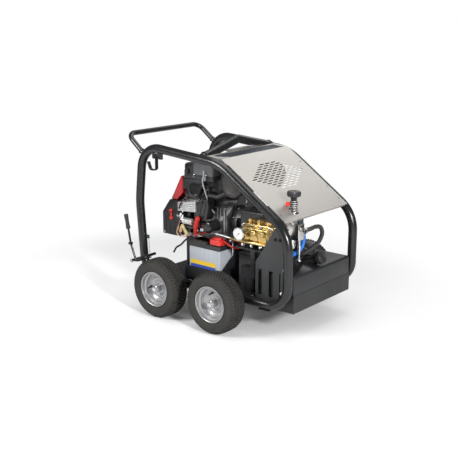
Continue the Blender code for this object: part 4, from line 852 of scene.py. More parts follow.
def soft_block(name, low, high, upright, upper, steps=4, lower=0.0):
    """Moulded block with rounded upright corners, top edges and bottom edges."""
    bm = bmesh.new()
    bmesh.ops.create_cube(bm, size=1.0)
    for vert in bm.verts:
        vert.co = Vector([l + (c + 0.5) * (h - l) for l, h, c in zip(low, high, vert.co)])
    middle = (low[2] + high[2]) / 2
    upright_edges = [e for e in bm.edges if abs(e.verts[0].co.z - e.verts[1].co.z) > 1e-6]
    if upright:
        bmesh.ops.bevel(bm, geom=upright_edges, offset=upright, segments=steps, profile=0.5,
            affect="EDGES")
    for amount, is_level in ((upper, lambda v: v.co.z > middle),
            (lower, lambda v: v.co.z < middle)):
        if amount:
            level = [e for e in bm.edges if all(is_level(v) for v in e.verts)
                and len(e.link_faces) == 2 and abs(e.verts[0].co.z - e.verts[1].co.z) < 1e-6
                and any(abs(f.normal.z) > 0.99 for f in e.link_faces)]
            bmesh.ops.bevel(bm, geom=level, offset=amount, segments=steps, profile=0.5,
                affect="EDGES")
    return mesh_object(name, bm, sharp=40)


def make_tank():
    low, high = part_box("front_box")
    seam = high.z + 0.0003
    top = 0.342
    half_y = 0.266
    lower = soft_block("lower", (low.x + 0.0028, -half_y + 0.0028, low.z + 0.0028),
        (high.x - 0.0028, half_y - 0.0028, seam + 0.004), 0.006, 0)
    upper = soft_block("upper", (low.x, -half_y, seam), (high.x, half_y, top), 0.01, 0.0135, 5,
        lower=0.003)
    foot = at(0.7, 0.005, top + 0.003)
    axis = Vector((math.cos(NECK_TILT), 0, math.sin(NECK_TILT)))
    neck = lathe("neck", mm((0, -30), (34, -22), (31, -4), (28.5, 8), (26.2, 18), (24.8, 26),
        (24, 36), (24, 60), (23.2, 60.4), (23.2, 82), (0, 82)), foot, axis, 48)
    fit(merged("tank_moulding", [lower, upper, neck]), tank_skin, ["fuel_tank"])
    back = foot + axis * 0.07
    deep = 0.0018
    profile = [(0, 0.0125), (0.0246, 0.0125), (0.0246, 0.0004), (0.033, 0.0), (0.0345, 0.001),
        (CAP_R, 0.0028, deep), (CAP_R, 0.008, deep), (CAP_R, 0.015, deep),
        (CAP_R, CAP_THICK - 0.0045, deep), (CAP_R - 0.0012, CAP_THICK - 0.0018, deep * 0.5),
        (CAP_R - 0.0036, CAP_THICK), (0.029, CAP_THICK), (0.028, CAP_THICK - 0.0008),
        (0.027, CAP_THICK), (0.021, CAP_THICK), (0.02, CAP_THICK - 0.0008), (0.019, CAP_THICK),
        (0.015, CAP_THICK), (0.0138, CAP_THICK - 0.002), (0, CAP_THICK - 0.002)]
    cap = lathe("ribbed_cap", profile, back, axis, ribs=30)
    fit(cap, cap_plastic, ["fuel_cap"], "filler_cap")


make_tank()

# ---- parking brake ----------------------------------------------------------
# A rod lever at the rear left turns a shaft through the side tube, whose shoe
# plate is pressed on the tyre.  The rod ends in a waisted rubber grip.
brake_pivot = next(Vector(j["pos_m"]) for j in frame["joints"] if j["child"] == "brake")
LEVER_Y = -0.452
GRIP_LENGTH = 0.078
grip_rubber = node_finish("grip_rubber", (0.018, 0.018, 0.018), 0.6, drift=0.12, cloud=40,
    grain=0.0007, bump=0.08)


def make_brake():
    station, z = brake_pivot.x - rear_axle.x, brake_pivot.z
    shaft = lathe("shaft", mm((0, 284), (7.4, 284), (8, 284.6), (8, 463.4), (7.4, 464), (0, 464)),
        at(station, 0, z), (0, -1, 0), 32)
    tip, rise, thick = station + 0.048, z + 0.0048, 0.003
    shoe = plate("shoe", [(station, z - thick), (tip, rise - thick), (tip, rise + thick),
        (station, z + thick)], -0.47, -0.362, edge=0.001)
    route = [((-0.152, 0.303), 0), ((-0.188, 0.392), 0.05), ((-0.199, 0.45), 0.05),
        ((-0.2195, 0.5505), 0)]
    path = rounded_path([(at(u, LEVER_Y, v), r) for (u, v), r in route], step=math.radians(2))
    rod = mesh_object("rod", tube_mesh(path, 0.006, (0, 1, 0), 24))
    clip = plate("clip", [(-0.198, 0.386), (-0.18, 0.386), (-0.18, 0.398), (-0.198, 0.398)], LEVER_Y
        - 0.009, LEVER_Y + 0.009, edge=0.0008)
    collar = weld_ring(at(station, -0.47, z), (0, 1, 0), 0.0088, 0.0016)
    fit(merged("brake_rod", [shaft, shoe, rod, clip, collar]), powder_black,
        ["brake_lever"], "brake")
    end = path[-1]
    back = (path[-2] - end).normalized()
    profile = mm((0, -4.5), (8.5, -4.5), (11, -3), (12.2, 1), (12.5, 4))
    waist = [(0.0125 - 0.0018 * math.sin(math.pi * k / 12), 0.004 + (GRIP_LENGTH - 0.007) * k / 12)
        for k in range(13)]
    grooved = [row for r, d in waist[1:] for row in ((r, d - 0.003), (r - 0.0007, d - 0.0024),
        (r - 0.0007, d - 0.0012), (r, d - 0.0006))]
    profile += grooved + [(0.0115, GRIP_LENGTH), (0.0063, GRIP_LENGTH), (0.0063, -0.0002),
        (0, -0.0002)]
    fit(lathe("waisted_grip", profile, end, back, 36), grip_rubber, ["brake_grip"],
        "brake")


make_brake()


# ---- starter battery ---------------------------------------------------------
# A pale polypropylene case with a black lid stands in a sloping black tray,
# held by a clamp strip.  A red cover, lead and boot lead to the starter.
pale_case = node_finish("pale_polypropylene", (0.37, 0.395, 0.43), 0.34, drift=0.04, cloud=8,
    grain=0.0012, bump=0.03, coat=0.2)
lid_black = node_finish("lid_black_plastic", (0.02, 0.02, 0.021), 0.42, drift=0.14, cloud=12,
    grain=0.001, bump=0.06)
red_plastic = node_finish("red_plastic", (0.55, 0.02, 0.014), 0.34, drift=0.1, cloud=30,
    grain=0.001, bump=0.03, coat=0.3)
red_rubber = node_finish("red_rubber", (0.46, 0.016, 0.012), 0.46, drift=0.1, cloud=30,
    grain=0.0008, bump=0.05)
plain_label = node_finish("plain_blue_label", (0.035, 0.075, 0.36), 0.4, drift=0.05, cloud=20)
yellow = node_finish("plain_yellow", (0.7, 0.47, 0.03), 0.45, drift=0.06, cloud=30)


def make_battery():
    refinish("battery_tray", satin_black, 0.0008)
    low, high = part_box("battery_case")
    case = soft_block("case", low, high, 0.005, 0.0008, 3)
    ribs = []
    for side_y, out in ((low.y, -1), (high.y, 1)):
        for k in range(7):
            x = low.x + 0.018 + (high.x - low.x - 0.036) * k / 6
            ribs.append(soft_block("rib", (x - 0.0012, min(side_y, side_y + out * 0.0011), low.z
                + 0.12), (x + 0.0012, max(side_y, side_y + out * 0.0011), high.z - 0.002), 0.0004,
                0.0004, 1))
    fit(merged("case_moulding", [case] + ribs), pale_case, ["battery_case"])
    for name, bottom, top, finish in (("label_blue", 0.03, 0.0925, plain_label),
            ("label_yellow", 0.0925, 0.116, yellow)):
        fit(soft_block(name, (low.x + 0.012, low.y - 0.0006, low.z + bottom),
            (low.x + 0.19, low.y - 0.0001, low.z + top), 0, 0), finish)
    low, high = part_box("battery_lid")
    lid = soft_block("lid", low, (high.x, high.y, high.z - 0.008), 0.006, 0.0015, 3)
    raised = soft_block("raised", (low.x + 0.006, low.y + 0.034, high.z - 0.01),
        (high.x - 0.006, high.y - 0.012, high.z), 0.005, 0.0015, 3)
    step = soft_block("step", (low.x + 0.006, low.y + 0.006, high.z - 0.01),
        (high.x - 0.1, high.y - 0.03, high.z), 0.004, 0.0015, 3)
    fit(merged("lid_moulding", [lid, raised, step]), lid_black, ["battery_lid"])
    low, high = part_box("terminal_cover")
    cover = soft_block("cover", low, (high.x, high.y, high.z - 0.01), 0.012, 0.004, 4)
    dome = soft_block("dome", (low.x + 0.014, low.y + 0.01, high.z - 0.016),
        (high.x - 0.012, high.y - 0.01, high.z), 0.014, 0.007, 4)
    fit(merged("terminal_hood", [cover, dome]), red_plastic, ["terminal_cover"])
    refinish("battery_clamp", zinc, 0.0006)


make_battery()


def curve_through(points):
    """Smooth path through given points, with the ends kept."""
    step = 0.006
    route = [2 * points[0] - points[1]] + list(points) + [2 * points[-1] - points[-2]]
    path = []
    for i in range(1, len(route) - 2):
        a, b, c, d = route[i - 1:i + 3]
        count = max(2, math.ceil((c - b).length / step))
        for k in range(count):
            t = k / count
            path.append(0.5 * (2 * b + (c - a) * t + (2 * a - 5 * b + 4 * c - d) * t ** 2
                + (3 * b - a - 3 * c + d) * t ** 3))
    return path + [points[-1]]


def cable_run(name, points, radius, finish, stands_for=(), sides=20):
    """Round lead or hose along a given route in stations."""
    path = curve_through([at(*p) for p in points])
    return fit(mesh_object(name, tube_mesh(path, radius, (0, 0, 1), sides)), finish,
        stands_for)


def make_leads():
    route = mm((326.3, -257, 448), (329.3, -257, 448), (345, -254, 440), (375, -235, 418),
        (390, -200, 410), (370, -166, 418), (320, -157, 440), (220, -157, 446), (130, -162, 446),
        (90, -185, 440), (79, -206.5, 428), (78, -209.5, 436.7), (78, -209.5, 439.7))
    cable_run("starter_lead", route, 0.0045, red_rubber, ["battery_cable"])
    path = curve_through([at(0.078, -0.2095, 0.44), at(0.079, -0.2095, 0.46),
        at(0.086, -0.2095, 0.5), at(0.1, -0.2095, 0.54)])
    count = len(path)
    widths = [0.007 + 0.0062 * min(1.0, 2.2 * i / count) + (0.0006 if i % 3 == 1 and i < count
        * 0.55 else 0.0) - max(0.0, (i - count * 0.86) / count) * 0.03 for i in range(count)]
    fit(mesh_object("boot_moulding", tube_mesh(path, 0.0115, (0, 1, 0), 24, widths=widths)),
        red_rubber, ["starter_boot"])


make_leads()

# ---- engine cradle and castings ----------------------------------------------
# An air-cooled V-twin on a welded cradle: cast crankcase, two finned cylinders
# under black rocker covers, a fan housing at the rear and sheet steel cowls.
CRANK_Z = 0.505
CYLINDER_TILT = math.radians(45)
CYLINDERS = ((-1, "left", 0.045), (1, "right", 0.095))
CYLINDER_FOOT = 0.108
FIN_STACK = 0.0945
cast_grey = node_finish("cast_aluminium", (0.36, 0.36, 0.365), 0.36, metallic=0.45, drift=0.7,
    cloud=14, grain=0.0016, bump=0.16)
fin_alloy = node_finish("finned_alloy", (0.52, 0.52, 0.53), 0.36, metallic=0.85, drift=0.14,
    cloud=18, grain=0.0013, bump=0.1)
engine_black = node_finish("engine_black_enamel", (0.009, 0.009, 0.0096), 0.3, drift=0.18, cloud=12,
    grain=0.001, bump=0.05, coat=0.2)
housing_plastic = node_finish("fan_housing_plastic", (0.014, 0.0145, 0.0155), 0.44, drift=0.1,
    cloud=9, grain=0.0011, bump=0.07)
bright_alloy = node_finish("bright_alloy", (0.66, 0.66, 0.67), 0.3, metallic=0.8, drift=0.1,
    cloud=30, grain=0.001, bump=0.06)
red_enamel = node_finish("red_enamel", (0.58, 0.012, 0.016), 0.26, drift=0.08, cloud=9, grain=0.001,
    bump=0.02, coat=0.5)
bright_steel = node_finish("bright_steel", (0.6, 0.6, 0.61), 0.22, metallic=1.0, drift=0.08,
    cloud=30, grain=0.0008, bump=0.02)
chrome = node_finish("bright_chrome", (0.72, 0.72, 0.73), 0.12, metallic=1.0, drift=0.05, cloud=20,
    grain=0.0009, bump=0.01)
lid_grey = node_finish("air_cleaner_lid_grey", (0.125, 0.128, 0.13), 0.38, drift=0.08, cloud=8,
    grain=0.0012, bump=0.06)
filter_grey = node_finish("air_cleaner_grey", (0.028, 0.029, 0.031), 0.36, drift=0.08, cloud=8,
    grain=0.0012, bump=0.06)


def tilted(obj, station, side, reach):
    """Turn a piece made along +Z from the crank's axis to a cylinder's tilt."""
    spin = Matrix.Rotation(-side * CYLINDER_TILT, 4, "X")
    obj.data.transform(Matrix.Translation(at(station, 0, CRANK_Z)) @ spin
        @ Matrix.Translation((0, 0, reach)))
    obj.data.update()
    return obj


def rounded_outline(half_u, half_v, corner, arcs):
    """Rectangle about the origin with rounded corners."""
    points = []
    for i, (a, b) in enumerate(((1, 1), (-1, 1), (-1, -1), (1, -1))):
        for k in range(arcs + 1):
            angle = math.pi / 2 * (i + k / arcs)
            points.append((a * (half_u - corner) + corner * math.cos(angle), b * (half_v - corner)
                + corner * math.sin(angle)))
    return points


def stacked(name, layers, corner, arcs=4, sharp=32.0):
    """Block along +Z from layers of (half length, half width, height)."""
    bm = bmesh.new()
    rings = [[bm.verts.new((u, v, height)) for u,
        v in rounded_outline(half_u, half_v, corner, arcs)] for half_u, half_v, height in layers]
    skin(bm, rings)
    return mesh_object(name, bm, sharp)


def make_cylinders():
    for side, word, station in CYLINDERS:
        layers = [(0.046, 0.042, 0.0)]
        fins = 12
        pitch = FIN_STACK / fins
        for i in range(fins):
            low = i * pitch + 0.0012
            layers += [(0.044, 0.04, low), (0.0614, 0.0554, low + 0.0004),
                (0.062, 0.056, low + 0.0012), (0.0614, 0.0554, low + 0.002),
                (0.044, 0.04, low + 0.0028)]
        layers += [(0.044, 0.04, FIN_STACK), (0.058, 0.052, FIN_STACK),
            (0.058, 0.052, FIN_STACK + 0.006), (0.054, 0.048, FIN_STACK + 0.007),
            (0.054, 0.048, FIN_STACK + 0.01), (0.058, 0.052, FIN_STACK + 0.011),
            (0.058, 0.052, FIN_STACK + 0.022)]
        body = tilted(stacked("fins", layers, 0.012), station, side, CYLINDER_FOOT)
        fit(merged("finned_cylinder_" + word, [body]), fin_alloy,
            ["cylinder_" + word])
        start = CYLINDER_FOOT + FIN_STACK + 0.0223
        layers = mm((56, 50, 0), (56, 50, 5), (53.5, 47.5, 5.6), (50, 44, 7), (48.5, 42.5, 24),
            (46, 40, 30), (40, 34, 33.5), (35, 29, 34))
        cover = tilted(stacked("cover", layers, 0.014, 6, 40), station, side, start)
        fit(merged("rocker_cover_" + word, [cover]), engine_black,
            ["valve_cover_" + word])
        spin = Matrix.Rotation(-side * CYLINDER_TILT, 3, "X")
        out = spin @ Vector((0, 0, 1))
        for i, (u, v) in enumerate(((-1, -1), (1, -1), (1, 1), (-1, 1))):
            spot = at(station, 0, CRANK_Z) + spin @ Vector((u * 0.0515, v * 0.0455, start + 0.005))
            screw_head("cover_bolt_%s_%d" % (word, i + 1), spot, out, 0.0032, bright_steel)


def make_castings():
    refinish("engine_cradle", satin_black, 0.001)
    refinish("crankcase", cast_grey, 0.0025, 3)
    refinish("crankshaft", bright_steel)
    refinish("flywheel_fan", fin_alloy, 0.0004)
    refinish("shaft_coupling", cast_grey, 0.0008)
    pieces = [lathe("boss", mm((0, 0), (13, 0), (13, 10), (11.8, 12), (0, 12)),
        at(0.204, -0.1178, 0.533), (0, -1, 0), 32)]
    for station in (-0.03, 0.006, 0.042, 0.078, 0.114, 0.172, 0.196, 0.222):
        pieces.append(plate("rib", [(station - 0.004, 0.438), (station + 0.004, 0.438),
            (station + 0.0032, 0.592), (station - 0.0032, 0.592)], -0.1285, -0.1175, edge=0.0018))
    fit(merged("crankcase_ribs", pieces), cast_grey)
    for i, (station, z) in enumerate(((0.128, 0.556), (0.148, 0.586), (0.222, 0.586), (0.226, 0.44),
            (0.15, 0.43), (0.1, 0.43), (0.02, 0.43))):
        screw_head("case_bolt_%d" % (i + 1), at(station, -0.1182, z), (0, -1, 0), 0.005,
            bright_steel)
    for i, station in enumerate((-0.02, 0.18)):
        for side, word in ((-1, "left"), (1, "right")):
            screw_head("foot_bolt_%s_%d" % (word, i + 1), at(station, side * 0.136, 0.419),
                (0, 0, 1), 0.007, zinc)


def make_fan_housing():
    refinish("blower_housing", housing_plastic, 0.003, 3)
    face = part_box("blower_housing")[0].y
    pieces = []
    for k in range(3):
        station = -0.168 + k * 0.034
        pieces.append(plate("flute", [(station - 0.003, 0.425), (station + 0.003, 0.425),
            (station + 0.003, 0.51), (station - 0.003, 0.51)], face - 0.0016, face - 0.0001,
            edge=0.0007))
    fit(merged("housing_flutes", pieces), housing_plastic)
    for i, (station, z) in enumerate(((-0.178, 0.41), (-0.074, 0.41), (-0.074, 0.52))):
        screw_head("housing_screw_%d" % (i + 1), at(station, face, z), (0, -1, 0), 0.0045, zinc)
    refinish("fan_shroud", red_enamel, 0.003, 3)


def make_cowls():
    """Sheet steel cowls that lead the fan's air over each cylinder."""
    for side, word, station in CYLINDERS:
        tilt = side * CYLINDER_TILT
        spin = Matrix.Rotation(-tilt, 3, "X")
        outline = [(-0.108, 0.075), (-0.06, 0.06), (0.052, 0.06), (0.058, 0.066), (0.058, 0.17),
            (0.048, 0.186), (-0.048, 0.186), (-0.108, 0.15)]
        bm = bmesh.new()
        rings = []
        for lift in (0.0585, 0.06):
            rings.append([bm.verts.new(at(station, 0, CRANK_Z) + spin
                @ Vector((u, side * lift, r + 0.03))) for u, r in outline])
        skin(bm, rings)
        cowl = mesh_object("cowl", bm)
        soft = cowl.modifiers.new("softened", "BEVEL")
        soft.width, soft.segments = 0.0006, 2
        fit(cowl, engine_black)
        cowl.name = "cylinder_cowl_" + word


def make_left_head():
    """Finned intake side of the left head, the air duct beside it and the plate behind both."""
    fins = [plate("core", [(-0.052, 0.56), (0.073, 0.568), (0.073, 0.622), (-0.048, 0.606)], -0.199,
        -0.15)]
    for k in range(5):
        rise = k * 0.0112
        fins.append(plate("fin", [(-0.055, 0.556 + rise * 0.92), (0.076, 0.564 + rise),
            (0.076, 0.571 + rise), (-0.055, 0.5625 + rise * 0.92)], -0.206, -0.15, edge=0.0012))
    fit(merged("head_fins", fins), bright_alloy)
    duct = [plate("duct", [(0.0715, 0.625), (0.155, 0.647), (0.162, 0.605), (0.144, 0.527),
        (0.112, 0.516), (0.056, 0.552), (0.056, 0.56)], -0.192, -0.14, edge=0.004, segments=3)]
    for foot, head in (((0.064, 0.566), (0.087, 0.622)), ((0.094, 0.54), (0.116, 0.628)),
            ((0.126, 0.532), (0.143, 0.634))):
        path = [at(foot[0], -0.1925, foot[1]), at(head[0], -0.1925, head[1])]
        duct.append(mesh_object("ridge", tube_mesh(path, 0.0026, (0, 1, 0), 14)))
    fit(merged("air_duct", duct), engine_black)
    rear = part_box("blower_housing")[1].x - rear_axle.x
    link = plate("cowl_link", [(rear - 0.004, 0.43), (-0.012, 0.43), (-0.012, 0.6),
        (rear - 0.004, 0.6)], -0.15, -0.118, edge=0.002)
    fit(link, engine_black)


def make_front_shield():
    """Pressed bracket that stands on the bell's flange between the engine and the pump."""
    bracket = plate("shield", [(-0.03, 0.545), (0.15, 0.545), (0.15, 0.632), (0.135, 0.644),
        (-0.01, 0.644), (-0.03, 0.62)], 0.234, 0.2365, across="X", edge=0.0008)
    fit(bracket, engine_black)
    bracket.name = "front_shield"
    screw_head("shield_bolt", at(0.2365, 0.046, 0.606), (1, 0, 0), 0.0062, bright_steel)


make_cylinders()
make_castings()
make_fan_housing()
make_cowls()
make_left_head()
make_front_shield()


# ---- exhaust -----------------------------------------------------------------
# A drum silencer lies across the engine in front of the air cleaner, fed by a
# short bent pipe from each cylinder head.
hot_black = node_finish("heat_resistant_black", (0.026, 0.025, 0.024), 0.48, metallic=0.25,
    drift=0.2, cloud=10, grain=0.0012, bump=0.1)
silencer_end = node_finish("silencer_end_paint", (0.052, 0.048, 0.045), 0.42, metallic=0.35,
    drift=0.18, cloud=9, grain=0.0012, bump=0.08)
SILENCER = (0.289, 0.742)
SILENCER_R = 0.078
SILENCER_Y = 0.05
SILENCER_HALF = 0.2


def make_silencer():
    centre = at(SILENCER[0], SILENCER_Y, SILENCER[1])
    h, r = SILENCER_HALF, SILENCER_R
    half = [(r - 0.0045, h - 0.01), (r - 0.0015, h - 0.008), (r, h - 0.006), (r, h - 0.0014),
        (r - 0.0012, h), (r - 0.004, h), (r - 0.006, h - 0.003)]
    seam = [(r - 0.0045, 0.0042), (r - 0.0022, 0.003), (r - 0.0018, 0.0), (r - 0.0022, -0.003),
        (r - 0.0045, -0.0042)]
    inside = [(r - 0.009, h - 0.0042), (r - 0.009, -h + 0.0042)]
    profile = [(a, b) for a, b in half[::-1]] + seam + [(a, -b) for a, b in half] + inside[::-1]
    shell = lathe("shell", profile, centre, (0, 1, 0), 80, ring=True)
    pieces = [shell]
    for side, word, station in CYLINDERS:
        reach = CYLINDER_FOOT + FIN_STACK + 0.011
        y, z = side * reach * math.sin(CYLINDER_TILT), CRANK_Z + reach * math.cos(CYLINDER_TILT)
        face = station + 0.0583
        path = rounded_path([(at(face, y, z), 0), (at(0.2, y, z), 0.045),
            (at(SILENCER[0] - 0.015, side * 0.112, 0.7), 0)])
        pieces.append(mesh_object("pipe", tube_mesh(path, 0.015, (0, 1, 0), 28)))
        pieces.append(lathe("flange", mm((15.5, 0), (24, 0), (25, 1), (25, 5), (24, 6), (15.5, 6)),
            at(face, y, z), (1, 0, 0), 40, ring=True))
        for turn in (0.6, 0.6 + math.pi):
            spot = at(face + 0.006, y + 0.0195 * math.cos(turn), z + 0.0195 * math.sin(turn))
            screw_head("flange_nut", spot, (1, 0, 0), 0.0038, bright_steel)
    fit(merged("silencer_drum", pieces), hot_black, ["muffler"])
    for side, word in ((-1, "left"), (1, "right")):
        face = lathe("silencer_end_" + word, [(0, h - 0.006), (0.058, h - 0.0064),
            (0.062, h - 0.0044), (0.066, h - 0.0042), (0.07, h - 0.0062), (r - 0.006, h - 0.0064),
            (r - 0.006, h - 0.0075), (0, h - 0.0075)], centre, (0, side, 0), 72)
        fit(face, silencer_end)


make_silencer()

# ---- engine fittings ---------------------------------------------------------
# Air cleaner and carburettor between the cylinders, and on the left the starter
# with its solenoid, the oil filter, the throttle lever and the wiring.
def make_air_cleaner():
    low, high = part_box("air_cleaner")
    base = soft_block("base", (low.x, low.y, low.z), (high.x, high.y, low.z + 0.03), 0.016, 0.0015,
        4, lower=0.003)
    rear = soft_block("rear", (low.x + 0.002, low.y + 0.002, low.z + 0.0305),
        (low.x + 0.09, high.y - 0.002, high.z - 0.004), 0.016, 0.018, 5)
    fit(merged("air_cleaner_box", [base, rear]), filter_grey, ["air_cleaner"])
    lid = [soft_block("lid", (low.x + 0.069, low.y + 0.0005, low.z + 0.026),
        (high.x - 0.002, high.y - 0.002, high.z), 0.014, 0.012, 5)]
    for k in range(5):
        y = -0.1 + k * 0.05
        lid.append(soft_block("rib", (low.x + 0.085, y - 0.004, high.z - 0.001),
            (high.x - 0.022, y + 0.004, high.z + 0.0014), 0.003, 0.001, 2))
    fit(merged("air_cleaner_lid", lid), lid_grey)
    knob = lathe("air_cleaner_knob", mm((0, -2), (13, -2), (14, 1), (14, 9), (12.8, 10.5),
        (8, 11.5), (7.4, 13), (0, 13.4)), (low.x + 0.031, low.y + 0.0005, low.z + 0.041),
        (0, -1, 0), 36)
    fit(knob, cap_plastic)
    for name, x, z, half_x, half_z, finish in (("cleaner_clip", 0.081, 0.022, 0.0085, 0.0085,
            chrome), ("cleaner_bracket", 0.165, 0.017, 0.0075, 0.016, bright_steel)):
        clip = soft_block(name, (low.x + x - half_x, low.y - 0.0045, low.z + z - half_z), (low.x + x
            + half_x, low.y + 0.001, low.z + z + half_z), 0.0015, 0.0015, 2)
        fit(clip, finish)
    cover = [soft_block("cover", (low.x - 0.006, low.y - 0.0005, low.z - 0.063),
        (low.x + 0.138, low.y + 0.056, low.z - 0.001), 0.01, 0.006, 3, lower=0.004)]
    for k in range(4):
        z = low.z - 0.058 + k * 0.0085
        cover.append(soft_block("rib", (low.x + 0.006, low.y - 0.003, z),
            (low.x + 0.126, low.y + 0.001, z + 0.0042), 0.001, 0.0008, 2))
    fit(merged("intake_cover", cover), cap_plastic)


def make_carburettor():
    low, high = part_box("carburettor")
    body = soft_block("body", (low.x, -0.028, low.z), (high.x, 0.028, high.z), 0.004, 0.001, 2)
    bowls = [lathe("bowl", mm((0, -60), (17, -60), (20, -57), (20, -40), (18.5, -38), (18.5, 38),
        (20, 40), (20, 57), (17, 60), (0, 60)), at(0.061, 0, 0.665), (0, 1, 0), 40)]
    fit(merged("twin_carburettor", [body] + bowls), fin_alloy, ["carburettor"])


def make_starter():
    start, y, z = -0.03, -0.165, 0.485
    profile = mm((0, 0), (29, 0), (31.5, 2), (32, 5), (32, 18), (30.8, 18.6), (30.8, 21),
        (32, 21.6), (32, 106), (30.8, 106.6), (30.8, 109), (32, 109.6), (32, 124), (29, 128.8),
        (14, 129.6), (13, 130), (0, 130))
    motor = lathe("motor", profile, at(start, y, z), (1, 0, 0), 56)
    lug = soft_block("lug", at(-0.028, -0.17, 0.462), at(-0.014, -0.1183, 0.492), 0.002, 0.001, 2)
    fit(merged("starter_body", [motor, lug]), engine_black, ["starter_motor"])
    end = lathe("starter_end_cap", mm((0, 129.6), (18.5, 129.6), (19.5, 130.6), (19.5, 146),
        (18, 147.8), (6, 148.2), (0, 148.2)), at(start, y, z), (1, 0, 0), 40)
    fit(end, bright_steel)
    profile = mm((0, 0), (15, 0), (18.5, 1.2), (19.5, 3), (19.5, 6), (18.2, 6.8), (18.2, 64),
        (19.5, 64.8), (19.5, 69), (18, 70), (10, 70.4), (0, 70.4))
    solenoid = lathe("starter_solenoid", profile, at(-0.01, -0.207, 0.505), (1, 0, 0), 48)
    fit(solenoid, bright_alloy)
    stud = lathe("starter_stud", mm((0, 0), (11, 0), (12.5, 1.5), (12.5, 22), (10, 23.5), (0, 24)),
        at(0.112, -0.195, 0.468), (1, 0, 0), 36)
    fit(stud, bright_alloy)


def make_oil_filter():
    profile = mm((0, 0), (32, 0), (33, 1.2), (33, 4), (31.8, 5.2), (31.8, 56), (33, 60, 1.6),
        (33, 76, 1.6), (31, 81, 1), (26, 84.5), (15, 85.8), (0, 86))
    can = lathe("filter_can", profile, at(0.165, -0.1263, 0.49), (0, -1, 0), ribs=15)
    fit(can, engine_black, ["oil_filter"])


def make_throttle():
    pivot = next(Vector(j["pos_m"]) for j in frame["joints"] if j["child"] == "throttle")
    hub = lathe("hub", mm((0, 0), (8.6, 0), (9, 0.6), (9, 9), (8.2, 10), (0, 10)), pivot,
        (0, -1, 0), 32)
    station = pivot.x - rear_axle.x
    arm = plate("arm", [(station - 0.005, 0.5), (station + 0.005, 0.5), (station + 0.004, 0.545),
        (station - 0.004, 0.545)], pivot.y - 0.006, pivot.y - 0.003, edge=0.0006)
    knob = lathe("knob", mm((0, 0), (6.6, 0), (7.5, 1.2), (7.5, 13), (6, 15.4), (0, 16)),
        (pivot.x, pivot.y - 0.002, 0.545), (0, -1, 0), 32)
    fit(merged("throttle_arm", [hub, arm, knob]), red_plastic, ["throttle_lever"],
        "throttle")


def make_wiring():
    grey_sleeve = node_finish("grey_loom_sleeve", (0.42, 0.43, 0.44), 0.5, drift=0.14, cloud=60,
        grain=0.0006, bump=0.2)
    soft_black = black_rubber
    tan = node_finish("tan_connector", (0.52, 0.42, 0.2), 0.45, drift=0.1, cloud=60)
    pink = node_finish("pink_wire", (0.52, 0.2, 0.2), 0.45, drift=0.1, cloud=60)
    loom = mm((100, -160, 792), (112, -172, 770), (108, -178, 735), (118, -172, 690),
        (132, -166, 640), (150, -158, 590), (164, -140, 560))
    cable_run("loom_sleeve", loom, 0.0042, grey_sleeve)
    runs = [("fuel_pipe", [(0.06, -0.075, 0.7), (0.052, -0.15, 0.69), (0.02, -0.205, 0.65),
        (-0.02, -0.214, 0.61), (-0.05, -0.2, 0.56), (-0.058, -0.15, 0.52)], 0.0042, soft_black,
        "black_rubber"), ("coil_lead_left", [(0.02, -0.196, 0.69), (0.06, -0.222, 0.665),
        (0.104, -0.212, 0.64), (0.12, -0.18, 0.6), (0.104, -0.14, 0.57)], 0.0036, soft_black,
        "black_rubber"), ("earth_lead", [(0.07, -0.18, 0.448), (0.047, -0.21, 0.426),
        (0.003, -0.212, 0.392), (-0.028, -0.212, 0.362), (-0.065, -0.212, 0.338),
        (-0.086, -0.212, 0.306)], 0.0052, soft_black, "black_rubber"), ("charge_wire_a",
        [(-0.052, -0.192, 0.5), (-0.05, -0.206, 0.462), (-0.03, -0.214, 0.426),
        (0.01, -0.222, 0.42), (0.052, -0.222, 0.432)], 0.002, pink, "red_rubber"), ("charge_wire_b",
        [(-0.048, -0.192, 0.492), (-0.058, -0.208, 0.452), (-0.052, -0.218, 0.424),
        (-0.014, -0.226, 0.412), (0.03, -0.226, 0.424)], 0.002, tan, "battery_plastic"),]
    for name, points, radius, finish, slot in runs:
        cable_run(name, points, radius, finish, sides=14)
    for i, (station, y, z, lean) in enumerate(((-0.031, -0.204, 0.452, 0.0),
            (-0.008, -0.214, 0.468, -0.6), (0.012, -0.214, 0.44, -0.6))):
        plug = soft_block("wire_plug_%d" % (i + 1), (-0.007, -0.006, -0.017), (0.007, 0.006, 0.017),
            0.0015, 0.0012, 2)
        plug.data.transform(Matrix.Translation(at(station, y, z)) @ Matrix.Rotation(lean, 4, "Y"))
        fit(plug, tan)


make_air_cleaner()
make_carburettor()
make_starter()
make_oil_filter()
make_throttle()
make_wiring()

# ---- plunger pump ------------------------------------------------------------
# A triplex pump on a folded stand, flanged to the engine through a cast bell.
# Its brass head has hexagon valve caps, an inlet bar and a dial gauge.
PUMP_TOP = 0.606
HEAD = ((0.432, 0.612), (-0.246, -0.1363), (0.468, 0.566))
VALVE_PITCH = 0.058
CAP_RADIUS = 0.0195
INLET = (-0.2595, 0.4745)
pump_enamel = node_finish("pump_black_enamel", (0.022, 0.022, 0.024), 0.34, drift=0.16, cloud=12,
    grain=0.0012, bump=0.08, coat=0.15)
cast_dark = node_finish("dark_cast_aluminium", (0.085, 0.087, 0.09), 0.46, metallic=0.6, drift=0.2,
    cloud=14, grain=0.0014, bump=0.14)
brass = node_finish("machined_brass", (0.6, 0.43, 0.17), 0.3, metallic=1.0, drift=0.14, cloud=26,
    grain=0.0009, bump=0.05)
nickel = node_finish("nickel_plate", (0.6, 0.59, 0.57), 0.22, metallic=1.0, drift=0.1, cloud=26,
    grain=0.0009, bump=0.03)


